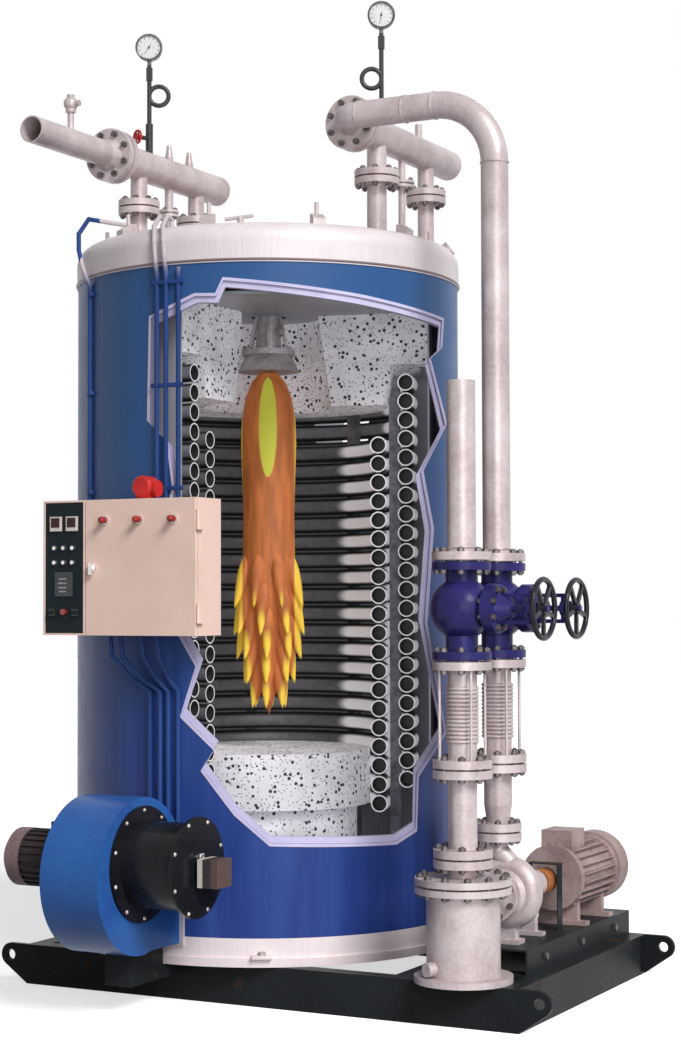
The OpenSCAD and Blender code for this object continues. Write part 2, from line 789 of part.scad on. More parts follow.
module outlet_gauge() color([0.25, 0.24, 0.27]) {
    difference() {
        translate([-outlet_x, outlet_riser_y[0] + 85, outlet_z]) around(window_az) {
            translate([0, 0, 205 - eps]) gauge(350, 130, 1);
            cylinder(d = 34, h = 205);
            translate([0, 0, 138]) rotate([90, 0, -50]) cylinder(d = 20, h = 56);
        }
        along_y([-outlet_x, -outlet_front, outlet_z]) cylinder(d = header_d, h = outlet_len);
    }
}

module gauge_valve_wheel() color([0.70, 0.16, 0.16]) {
    translate([-outlet_x, outlet_riser_y[0] + 85, outlet_z + 138]) around(window_az - 50) rotate([90, 0, 0])
        translate([0, 0, 56 + seat]) {
            cylinder(d = 22, h = 18);
            rotate_extrude() translate([28, 9]) circle(d = 11);
            for (a = [0 : 60 : 120]) rotate([0, 0, a]) translate([-28, -3, 6]) cube([56, 6, 6]);
        }
}

module inlet_header() color(silver_paint) {
    along_y([inlet_x, -inlet_front, inlet_z]) {
        header_body(inlet_len);
        pipe_flange(-1);
    }
    translate([inlet_x, inlet_riser_y[2] - 75, inlet_z]) cylinder(d = 32, h = header_d / 2 + 62);
}

module inlet_risers() color(silver_paint) {
    riser(inlet_x, inlet_riser_y[0], inlet_z, 88, 200, riser_flange_t);
    riser(inlet_x, inlet_riser_y[1], inlet_z, 32, 115, 16);
    riser(inlet_x, inlet_riser_y[2], inlet_z, riser_d, riser_flange_d, riser_flange_t);
}

module inlet_gauge() color([0.25, 0.24, 0.27]) difference() {
    translate([inlet_x, inlet_riser_y[0] + 50, inlet_z]) around(window_az) gauge(545, 262, -1);
    along_y([inlet_x, -inlet_front, inlet_z]) cylinder(d = header_d, h = inlet_len);
}

// Flange that stands on the floor, with its raised face on top (1) or underneath (-1)
module flange(d, t, face) {
    translate([0, 0, face > 0 ? 0 : face_h]) cylinder(d = d, h = t - face_h);
    cylinder(d = d * face_share, h = t);
}

module pipe_flange(face) flange(flange_d, flange_t, face);

// Pipe stacks

module feed_pipe() color(silver_paint) {
    top = inlet_z - top_bend_r;
    translate([stack_x, feed_y, valve_top]) {
        pipe_flange(-1);
        cylinder(d = pipe_d, h = top - valve_top);
    }
    translate([stack_x, feed_y, top]) quarter_bend(pipe_d, top_bend_r);
    along_x([inlet_x + elbow_r, feed_y, inlet_z]) cylinder(d = pipe_d,
        h = stack_x - top_bend_r - inlet_x - elbow_r);
    translate([inlet_x + elbow_r, feed_y + elbow_r, inlet_z]) rotate([0, 0, 180])
        rotate_extrude(angle = 90) translate([elbow_r, 0]) circle(d = pipe_d);
    along_y([inlet_x, feed_y + elbow_r, inlet_z]) pipe_flange(1);
}

module return_pipe() color(silver_paint) translate([stack_x, -return_y, valve_top]) difference() {
    union() {
        pipe_flange(-1);
        cylinder(d = pipe_d, h = return_pipe_len);
    }
    translate([0, 0, -eps]) cylinder(d = pipe_d - 2 * pipe_wall, h = return_pipe_len + 2 * eps);
}

module stop_valve() color(valve_blue) {
    rise = valve_mid - valve_z;
    body_r = 124;
    bonnet = 118;
    pipe_flange(-1);
    translate([0, 0, valve_h - flange_t]) pipe_flange(1);
    cylinder(d = pipe_d + 14, h = valve_h);
    translate([0, 0, rise]) sphere(body_r);
    along_x([0, 0, rise]) {
        cylinder(r = 72, h = bonnet);
        translate([0, 0, bonnet]) cylinder(r = 98, h = 44);
        translate([0, 0, bonnet + 44 - eps]) cylinder(r1 = 60, r2 = 34, h = 60);
        translate([0, 0, bonnet]) cylinder(r = 12, h = valve_reach + 22 - bonnet);
        translate([0, 0, valve_reach - 62]) cylinder(r = 30, h = 40);
        for (a = [0, 180]) rotate([0, 0, a]) translate([44, -9, bonnet + 44 - eps])
            cube([16, 18, valve_reach - 62 - bonnet - 44 + 2 * eps]);
        for (a = [0, 180]) rotate([0, 0, a]) translate([20, -9, valve_reach - 62]) cube([40, 18, 24]);
    }
}

module feed_valve() translate([stack_x, feed_y, valve_z]) stop_valve();

module return_valve() translate([stack_x, -return_y, valve_z]) stop_valve();

module handwheel() color([0.10, 0.10, 0.11]) along_x([stack_x + valve_reach - 16, 0, valve_mid]) {
    rim_d = 22;
    rim_r = wheel_d / 2 - rim_d / 2;
    rotate_extrude() translate([rim_r, 18]) circle(d = rim_d);
    difference() {
        cylinder(d = 48, h = 30);
        translate([0, 0, -eps]) cylinder(r = 12 + seat, h = 30 + 2 * eps);
    }
    for (a = [0 : 72 : 288]) rotate([0, 0, a]) translate([20, -8, 10]) cube([rim_r - 22, 16, 14]);
}

module feed_handwheel() translate([0, feed_y, 0]) handwheel();

module return_handwheel() translate([0, -return_y, 0]) handwheel();

module bellows() color(silver_paint) {
    wave = 224 / bellows_waves;
    low = (bellows_h - 224) / 2;
    pipe_flange(-1);
    translate([0, 0, bellows_h - flange_t]) pipe_flange(1);
    cylinder(d = pipe_d, h = bellows_h);
    translate([0, 0, low]) rotate_extrude() union() {
        for (i = [0 : bellows_waves - 1]) translate([58, (i + 0.5) * wave]) circle(d = wave * 0.96);
        square([58, 224]);
    }
    for (a = [45 : 90 : 315]) rotate([0, 0, a]) translate([flange_d / 2 - 22, 0, flange_t - eps])
        cylinder(d = 12, h = bellows_h - 2 * flange_t + 2 * eps);
}

module feed_bellows() translate([stack_x, feed_y, bellows_z]) bellows();

module return_bellows() translate([stack_x, -return_y, bellows_z]) bellows();

module feed_spool() color(silver_paint) translate([stack_x, feed_y, 0]) {
    low = pump_flange_z + pump_flange_t;
    reducer = 110;
    translate([0, 0, low]) flange(pump_flange_d, pump_flange_t, -1);
    translate([0, 0, low]) cylinder(d1 = pump_neck_d, d2 = pipe_d, h = reducer);
    translate([0, 0, low + reducer - eps]) cylinder(d = pipe_d, h = bellows_z - low - reducer + eps);
    translate([0, 0, bellows_z - flange_t]) pipe_flange(1);
}

module return_spool() color(silver_paint) translate([stack_x, -return_y, 0]) {
    translate([0, 0, neck_top]) pipe_flange(-1);
    translate([0, 0, neck_top]) cylinder(d = pipe_d, h = bellows_z - neck_top);
    translate([0, 0, bellows_z - flange_t]) pipe_flange(1);
}

// Pump set
module filter_lid() color(silver_paint) translate([stack_x, -return_y, pot_top]) {
    flange(pot_flange_d, lid_plate_t, -1);
    cylinder(d = pipe_d, h = lid_plate_t + neck_len);
    translate([0, 0, lid_plate_t + neck_len - flange_t]) pipe_flange(1);
}

module filter_pot() color(silver_paint) {
    translate([stack_x, -return_y, beam_h]) {
        cylinder(d = pot_flange_d + 8, h = pot_base_t);
        cylinder(d = pot_d, h = pot_base_t + pot_h);
        translate([0, 0, pot_base_t + pot_h - lid_plate_t]) flange(pot_flange_d, lid_plate_t, 1);
        around(-30) translate([0, 0, pot_base_t + 34]) rotate([90, 0, 0]) cylinder(d = 56,
            h = pot_d / 2 + 34);
    }
    along_y([shaft_x, -return_y, shaft_z]) {
        cylinder(d = suction_d, h = pot_outlet);
        translate([0, 0, pot_outlet - suction_flange_t]) flange(suction_flange_d, suction_flange_t, 1);
    }
}

module pump_casing() color(silver_paint) {
    suction = -return_y + pot_outlet;
    hub = 22;
    ring = volute_r - volute_tube_r;
    outlet_side = [shaft_x + ring, feed_y, shaft_z + hub];
    outlet_top = [stack_x, feed_y, pump_flange_z - 40];
    foot = [120, 70, 18];
    along_y([shaft_x, suction, shaft_z]) {
        flange(suction_flange_d, suction_flange_t, -1);
        cylinder(d = suction_d, h = volute_front - suction + eps);
        translate([0, 0, volute_front - suction - hub]) cylinder(d1 = suction_d + 8, d2 = 2 * ring - 8,
            h = hub + eps);
    }
    along_y([shaft_x, volute_front, shaft_z]) cylinder(r = ring, h = volute_w);
    along_y([shaft_x, feed_y, shaft_z]) rotate_extrude() translate([ring, 0]) circle(volute_tube_r);
    pipe_run([outlet_side, outlet_top, [stack_x, feed_y, pump_flange_z + eps]], pump_neck_d);
    translate([stack_x, feed_y, pump_flange_z]) flange(pump_flange_d, pump_flange_t, 1);
    translate([shaft_x - foot.x / 2, feed_y - foot.y / 2, plinth_top]) cube(foot);
    translate([shaft_x - foot.x / 3, feed_y - foot.y / 3, plinth_top])
        cube([foot.x * 2 / 3, foot.y * 2 / 3, shaft_z - plinth_top - ring]);
}

module pump_bearing() color(silver_paint) {
    along_y([shaft_x, volute_back, shaft_z]) {
        cylinder(r = 112, h = 26);
        translate([0, 0, 26 - eps]) cylinder(r1 = 92, r2 = 60, h = 80);
        cylinder(r = 58, h = bearing_len - 12);
        cylinder(r = 20, h = bearing_len + 22);
    }
    translate([shaft_x - 62, volute_back + bearing_len - 90, plinth_top]) {
        cube([124, 46, 16]);
        translate([32, 8, 0]) cube([60, 30, shaft_z - plinth_top - 30]);
    }
}

module pump_coupling() color([0.80, 0.52, 0.16]) along_y([shaft_x, coupling_y + seat, shaft_z]) {
    cylinder(r = coupling_r, h = coupling_len * 0.42);
    translate([0, 0, coupling_len * 0.42 - eps]) cylinder(r = coupling_r - 10,
        h = coupling_len * 0.16 + 2 * eps);
    translate([0, 0, coupling_len * 0.58]) cylinder(r = coupling_r, h = coupling_len * 0.42 - 2 * seat);
}

module coupling_guard() color([0.15, 0.16, 0.17]) {
    wall = 4;
    high = shaft_z + coupling_r + 22;
    half = coupling_r + 18;
    reach = coupling_len * 0.55;
    translate([shaft_x, coupling_y + coupling_len - reach + 8, 0]) difference() {
        translate([-half, 0, plinth_top]) cube([2 * half, reach, high - plinth_top]);
        translate([-half + wall, -eps, plinth_top - eps])
            cube([2 * half - 2 * wall, reach + 2 * eps, high - plinth_top - wall + eps]);
    }
}

module pump_motor() color([0.62, 0.57, 0.53]) {
    body = pump_motor_len - 130;
    along_y([shaft_x, motor_y, shaft_z]) {
        translate([0, 0, -62]) cylinder(r = 22, h = 70);
        cylinder(r = pump_motor_r, h = 40);
        translate([0, 0, 30]) cylinder(r = pump_motor_r - 18, h = body);
        for (a = [7.5 : 15 : 352.5]) rotate([0, 0, a]) translate([pump_motor_r - 28, -3, 36])
            cube([34, 6, body - 50]);
        translate([0, 0, body - 20]) cylinder(r = pump_motor_r, h = 30);
        translate([0, 0, body + 10 - eps]) cylinder(r = pump_motor_r + 14, h = 100);
        translate([0, 0, body + 110 - 2 * eps]) cylinder(r1 = pump_motor_r + 14, r2 = pump_motor_r - 16,
            h = 20);
    }
    for (y = [motor_y + 60, motor_y + body - 80])
        translate([shaft_x - 130, y, plinth_top]) {
            cube([260, 50, 18]);
            translate([40, 8, 0]) cube([180, 34, shaft_z - plinth_top - 80]);
        }
    translate([shaft_x - 70, motor_y + 60, shaft_z + pump_motor_r - 30]) cube([140, 150, 88]);
}

// Blower
module blower_scroll() color([0.14, 0.36, 0.68]) {
    translate([scroll_back_x, 0, 0]) rotate([90, 0, 90]) linear_extrude(scroll_w)
        translate([scroll_y, blower_z - scroll_drop]) circle(scroll_r, $fn = 128);
    difference() {
        translate([duct_x, scroll_y, duct_z]) cube([duct_w, -scroll_y, duct_h]);
        translate([0, 0, duct_z - eps]) cylinder(r = shell_r + seat, h = duct_h + 2 * eps);
    }
    difference() {
        translate([duct_x - 16, -shell_r - 8, duct_z - 12]) cube([duct_w + 32, 200, duct_h + 30]);
        translate([0, 0, duct_z - 20]) cylinder(r = shell_r + seat, h = duct_h + 60);
        translate([duct_x - 17, -shell_r + 8, duct_z - 20]) cube([duct_w + 40, 300, duct_h + 60]);
    }
}

module fan_motor(r, length) {
    cowl = 0.28 * length;
    cylinder(r = r * 0.92, h = length - cowl);
    for (a = [0 : 15 : 345]) rotate([0, 0, a]) translate([r * 0.88, -2.5, 24]) cube([r * 0.12, 5,
        length - cowl - 24]);
    cylinder(r = r, h = 26);
    translate([0, 0, length - cowl - eps]) cylinder(r = r, h = cowl * 0.7);
    translate([0, 0, length - cowl * 0.3 - 2 * eps]) cylinder(r1 = r, r2 = r * 0.72, h = cowl * 0.3);
}

module blower_motor() color([0.42, 0.36, 0.34]) {
    translate([scroll_back_x, scroll_y, blower_z + 30]) rotate([0, -90, 0]) fan_motor(blower_motor_r,
        blower_motor_len);
    translate([scroll_back_x - 130, scroll_y - 55, blower_z + 30 + blower_motor_r - 26])
        cube([90, 110, 62]);
}

module intake_tube() color([0.07, 0.07, 0.08]) along_x([scroll_face_x, scroll_y, blower_z + 30]) {
    cylinder(r = intake_r + 58, h = 12);
    cylinder(r = intake_r, h = intake_len);
    translate([0, 0, intake_len - 12]) cylinder(r = intake_r + 26, h = 12);
}

module damper_actuator() color([0.25, 0.23, 0.24]) translate([scroll_face_x + intake_len, scroll_y - 40,
    blower_z - 20]) {
    along_x([0, 50, 50]) cylinder(r = 16, h = 30);
    translate([20, 0, -22]) cube([90, 110, 110]);
}

module blower_bracket() color(skid_black) {
    width = 120;
    arm_h = 50;
    reach = -beam_y - scroll_y - 60;
    post = reach - (shell_r + foot_ring_out - beam_y) - 12;
    translate([duct_x + 30, -beam_y - reach, beam_h - arm_h - 6]) {
        cube([width, reach, arm_h]);
        cube([width, post, duct_z - beam_h + arm_h + 6]);
    }
}

// Control cabinet
module cabinet_body() color([0.86, 0.78, 0.72]) {
    difference() {
        union() {
            translate([cabinet_x0, cabinet_front + door_t, cabinet_z]) cube([cabinet_w,
                cabinet_d - door_t, cabinet_h]);
            translate([cabinet_x0, cabinet_front, cabinet_z]) cube([panel_w, cabinet_d, cabinet_h]);
        }
        translate([door_x0 + cabinet_wall, cabinet_front, cabinet_z + cabinet_wall])
            cube([cabinet_w - panel_w - 2 * cabinet_wall, cabinet_d - cabinet_wall,
                cabinet_h - 2 * cabinet_wall]);
        translate([cabinet_x0 + panel_rim, cabinet_front - eps, cabinet_z + panel_rim])
            cube([panel_w - 2 * panel_rim, panel_recess + eps, cabinet_h - 2 * panel_rim]);
    }
    for (z = hinge_zs) {
        translate([hinge_x, hinge_y, z - hinge_h]) cylinder(r = hinge_r, h = hinge_h);
        translate([hinge_x - eps, hinge_y, z - hinge_h]) cube([hinge_r, hinge_arm, hinge_h]);
        translate([cabinet_x1 - eps, cabinet_front + door_t, z - hinge_h]) cube([hinge_leaf + hinge_r,
            hinge_arm / 2, hinge_h]);
    }
    difference() {
        for (z = [cabinet_z + 60, cabinet_top - 100]) translate([cabinet_x0 + 60, cabinet_back - eps, z])
            cube([cabinet_w - 120, 190, 40]);
        translate([0, 0, cabinet_z]) cylinder(r = shell_r + seat, h = cabinet_h, $fn = 240);
        translate([-70, cabinet_back - 2, cabinet_z]) cube([160, 60, cabinet_h]);
    }
}

module cabinet_door() color([0.87, 0.79, 0.73]) {
    translate([door_x0 + door_gap, cabinet_front, cabinet_z])
        cube([cabinet_w - panel_w - door_gap, door_t - door_gap, cabinet_h]);
    for (z = hinge_zs) {
        translate([hinge_x, hinge_y, z + seat]) cylinder(r = hinge_r, h = hinge_h);
        translate([cabinet_x1 - eps, hinge_y - hinge_r / 2, z + seat]) cube([hinge_x - cabinet_x1,
            hinge_r, hinge_h]);
    }
}

module door_lock() color([0.70, 0.70, 0.72]) translate([door_x0 + 40, cabinet_front,
    cabinet_z + cabinet_h / 2]) rotate([90, 0, 0]) {
    cylinder(d = 34, h = 10);
    translate([-9, -30, 10 - eps]) cube([18, 48, 12]);
}

module instrument_panel() color([0.12, 0.15, 0.15]) {
    gap = panel_rim + seat;
    translate([cabinet_x0 + gap, cabinet_front + panel_recess - panel_face, cabinet_z + gap])
        cube([panel_w - 2 * gap, panel_face, cabinet_h - 2 * gap]);
}

module panel_controls() color([0.80, 0.80, 0.76]) translate([cabinet_x0 + panel_w / 2,
    cabinet_front + panel_recess - panel_face, cabinet_z]) {
    // Rows from the panel's foot: switches, key, display, two rows of lamps, meters
    rows = [20, 24, 40, 75, 90, 107.5] * cabinet_h / 139;
    for (x = [-58, 58]) translate([x - 14, -12, rows[0]]) cube([28, 12, 28]);
    translate([0, 0, rows[1]]) rotate([90, 0, 0]) cylinder(d = 26, h = 14);
    translate([-45, -6, rows[2]]) cube([90, 6, 100]);
    for (x = [-45, 0, 45], z = [rows[3], rows[4]]) translate([x, 0, z]) rotate([90, 0, 0])
        cylinder(d = 22, h = 10);
    for (x = [-40, 40]) translate([x - 27, -10, rows[5]]) cube([54, 10, 60]);
}

module alarm_horn() color([0.75, 0.12, 0.12]) translate([-20, cabinet_front + cabinet_d / 2, cabinet_top]) {
    drum_r = 46;
    drum_w = 84;
    round = 12;
    mouth = 62;
    translate([-drum_r * 0.7, -drum_w * 0.3, 0]) cube([drum_r * 1.4, drum_w * 0.6, drum_r * 0.4]);
    translate([0, 0, drum_r + 6]) {
        along_y([0, -drum_w / 2, 0]) rotate_extrude() hull() {
            square([round, drum_w]);
            translate([drum_r - round, round]) circle(round);
            translate([drum_r - round, drum_w - round]) circle(round);
        }
        along_x([0, 0, -8]) cylinder(r1 = 22, r2 = 34, h = mouth);
    }
}

module conduits() color([0.20, 0.42, 0.68]) {
    r = shell_r + conduit_d * elbow_swell / 2 + seat;
    over = skirt_r + bead_r + conduit_d / 2 + 4;
    under_cap = shell_top - 33;
    entry_r = roof_r - 177;
    left_start = [cabinet_x0 + 40, cabinet_back + seat, cabinet_top - 98];
    // Left conduit, from the cabinet's back round the cap's shoulder to the outlet riser
    pipe_run([left_start, left_start + [0, 16, 0], on(-33.4, r, left_start.z), on(-33.4, r, under_cap),
        on(-33.6, over, shell_top - 8), on(-37.9, over, skirt_top - 28), on(-41.1, over, roof_edge_z - 35),
        on(-41.2, over, roof_edge_z + 37), on(-44.5, roof_r + 44, roof_edge_z + 114),
        on(-52.1, entry_r, roof_edge_z + 107), on(-52.1, entry_r, roof_z(entry_r) + 2)], conduit_d);
    // Pair that runs down from the cap behind the cabinet
    for (turn = [-2.8, 0.2])
        pipe_run([on(turn, r, cabinet_z + 98), on(turn, r, under_cap), on(turn, over, shell_top + 12),
            on(turn - 0.4, over, skirt_top + 2), on(turn - 1.9, over - 32, skirt_top + 77),
            on(turn - 4, roof_r - 8, roof_edge_z + 52), on(turn - 5, roof_r - 56, roof_edge_z + 44),
            on(turn - 5, roof_r - 56, roof_z(roof_r - 56) + 2)], conduit_d);
    around(4.1) translate([0, -r, cabinet_z + 98])
        cylinder(d = conduit_d, h = under_cap + 20 - cabinet_z - 98);
    // Bent conduits from under the cabinet down to the blower
    for (way = [[-230, -5.1], [-180, -1.7], [-75, 0.95], [0, 4.0]])
        pipe_run([[way[0], cabinet_back - 46, cabinet_z - seat], [way[0], cabinet_back - 46, cabinet_z - 24],
            [way[0] + 5, cabinet_back - 42, cabinet_z - 90],
            (on(way[1], r, 0) + [way[0], cabinet_back - 20, 0]) / 2 + [0, -5, cabinet_z - 180],
            on(way[1], r, cabinet_z - 235), on(way[1], r, blower_z + 110)], conduit_d);
}

front_beam();
rear_beam();
cross_beams();
pump_plinth();
base_drum();
casing_shell();
casing_lining();
inner_jacket();
outer_coil();
inner_coil();
coil_supports();
chamber_floor();
burner_block();
inner_lid();
burner_head();
display_flame();
top_cap();
burner_cover();
lid_clamps();
flue_spigot();
outlet_header();
outlet_risers();
outlet_pipe();
thermowell();
outlet_gauge();
gauge_valve_wheel();
inlet_header();
inlet_risers();
inlet_gauge();
feed_pipe();
return_pipe();
feed_valve();
return_valve();
feed_handwheel();
return_handwheel();
feed_bellows();
return_bellows();
feed_spool();
return_spool();
filter_lid();
filter_pot();
pump_casing();
pump_bearing();
pump_coupling();
coupling_guard();
pump_motor();
blower_scroll();
blower_motor();
intake_tube();
damper_actuator();
blower_bracket();
cabinet_body();
cabinet_door();
door_lock();
instrument_panel();
panel_controls();
alarm_horn();
conduits();
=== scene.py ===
"""Looks of an upright thermal oil heater on its skid.

Every node gets its finish, small hardware is added, and light and camera are set up.
"""

import json
import logging
import math
from abc import ABC, abstractmethod
from collections.abc import Mapping, Sequence
from dataclasses import dataclass
from enum import Enum
from typing import ClassVar

import bmesh
import bpy
from mathutils import Matrix, Vector

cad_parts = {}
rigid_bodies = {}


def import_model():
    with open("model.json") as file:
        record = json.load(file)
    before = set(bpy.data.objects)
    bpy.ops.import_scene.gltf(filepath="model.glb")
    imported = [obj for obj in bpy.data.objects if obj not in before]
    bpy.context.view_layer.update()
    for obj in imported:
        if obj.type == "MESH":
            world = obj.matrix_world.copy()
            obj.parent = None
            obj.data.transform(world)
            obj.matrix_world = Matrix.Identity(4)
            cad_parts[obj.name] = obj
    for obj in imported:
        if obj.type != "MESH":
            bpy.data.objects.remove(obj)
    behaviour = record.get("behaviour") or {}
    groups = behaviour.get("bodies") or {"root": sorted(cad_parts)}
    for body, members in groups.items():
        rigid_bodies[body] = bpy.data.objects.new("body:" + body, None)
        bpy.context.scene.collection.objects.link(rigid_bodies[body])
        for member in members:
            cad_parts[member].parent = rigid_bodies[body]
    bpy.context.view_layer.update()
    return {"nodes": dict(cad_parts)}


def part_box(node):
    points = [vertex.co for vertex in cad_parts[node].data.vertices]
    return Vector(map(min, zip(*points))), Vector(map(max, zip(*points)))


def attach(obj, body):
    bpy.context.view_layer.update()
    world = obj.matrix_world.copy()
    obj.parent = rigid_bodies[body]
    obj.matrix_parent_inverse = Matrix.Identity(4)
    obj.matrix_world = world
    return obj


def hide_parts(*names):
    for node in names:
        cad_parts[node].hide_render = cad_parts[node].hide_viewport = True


Colour = tuple[float, float, float]
Point = tuple[float, float, float]
Pairs = Sequence[tuple[float, float]]

VIEW_AZIMUTH = 27.7
CASING_RADIUS = 0.858
PUMP_AXIS_X = 1.297
PUMP_AXIS_Z = 0.475
FULL_TURN = 2.0 * math.pi
log = logging.getLogger("heater")


class Body(Enum):
    """Bodies of the part that carry dressing."""

    HEATER = "heater"
    DOOR = "door"
    FEED_WHEEL = "feed_wheel"
    RETURN_WHEEL = "return_wheel"


class LampKind(Enum):
    """Kinds of light in the studio."""

    SUN = "SUN"
    AREA = "AREA"


class Axis(Enum):
    """Directions that hardware stands along."""

    X = Vector((1.0, 0.0, 0.0))
    Y = Vector((0.0, 1.0, 0.0))
    Z = Vector((0.0, 0.0, 1.0))


def around(azimuth: float, radius: float, height: float) -> Vector:
    """Finds a point by its direction from the vessel's axis.

    Args:
        azimuth: degrees from -Y towards +X.
        radius: distance from the axis.
        height: height over the floor.

    Returns:
        The point in the row frame.
    """
    turn = math.radians(azimuth)
    return Vector((radius * math.sin(turn), -radius * math.cos(turn), height))


def spokes(count: int, offset: float = 0.0) -> list[Vector]:
    """Lists even directions round the Y axis.

    Args:
        count: how many.
        offset: turn of the first one from +X, in shares of a step.

    Returns:
        Directions of length 1.
    """
    turns = [FULL_TURN * (number + offset) / count for number in range(count)]
    return [Vector((math.cos(turn), 0.0, math.sin(turn))) for turn in turns]


def darker(colour: Colour, share: float) -> Colour:
    """Scales a colour towards black."""
    return tuple(channel * share for channel in colour)


class Field:
    """One shader value, with arithmetic that adds maths nodes."""

    def __init__(self, tree: "ShaderTree", socket: bpy.types.NodeSocket) -> None:
        """Wraps an output socket of a tree."""
        self.tree = tree
        self.socket = socket

    def __add__(self, other: "Field | float") -> "Field":
        """Sum."""
        return self.tree.maths("ADD", self, other)

    def __radd__(self, other: float) -> "Field":
        """Sum with a plain number first."""
        return self.tree.maths("ADD", other, self)

    def __sub__(self, other: "Field | float") -> "Field":
        """Difference."""
        return self.tree.maths("SUBTRACT", self, other)

    def __rsub__(self, other: float) -> "Field":
        """Difference from a plain number."""
        return self.tree.maths("SUBTRACT", other, self)

    def __mul__(self, other: "Field | float") -> "Field":
        """Product."""
        return self.tree.maths("MULTIPLY", self, other)

    def __rmul__(self, other: float) -> "Field":
        """Product with a plain number first."""
        return self.tree.maths("MULTIPLY", other, self)

    def __truediv__(self, other: "Field | float") -> "Field":
        """Quotient."""
        return self.tree.maths("DIVIDE", self, other)

    def __rtruediv__(self, other: float) -> "Field":
        """Quotient of a plain number."""
        return self.tree.maths("DIVIDE", other, self)

    def __abs__(self) -> "Field":
        """Size without sign."""
        return self.tree.maths("ABSOLUTE", self)

    def root(self) -> "Field":
        """Square root."""
        return self.tree.maths("SQRT", self)

    def wrapped(self, low: float, high: float) -> "Field":
        """Value wrapped into a range."""
        return self.tree.maths("WRAP", self, high, low)

    def above(self, limit: float, soft: float = 0.001) -> "Field":
        """Masks where the value passes a limit.

        Args:
            limit: middle of the step.
            soft: half width of the step.

        Returns:
            0 below the limit, 1 above it.
        """
        step = self.tree.node(
            "ShaderNodeMapRange",
            {"Value": self, "From Min": limit - soft, "From Max": limit + soft},
            {"interpolation_type": "SMOOTHSTEP"},
        )
        return Field(self.tree, step.outputs[0])

    def below(self, limit: float, soft: float = 0.001) -> "Field":
        """Masks where the value stays under a limit."""
        return 1.0 - self.above(limit, soft)

    def either(self, other: "Field") -> "Field":
        """Masks where this mask or another one holds."""
        return 1.0 - (1.0 - self) * (1.0 - other)


Value = Field | float | Colour


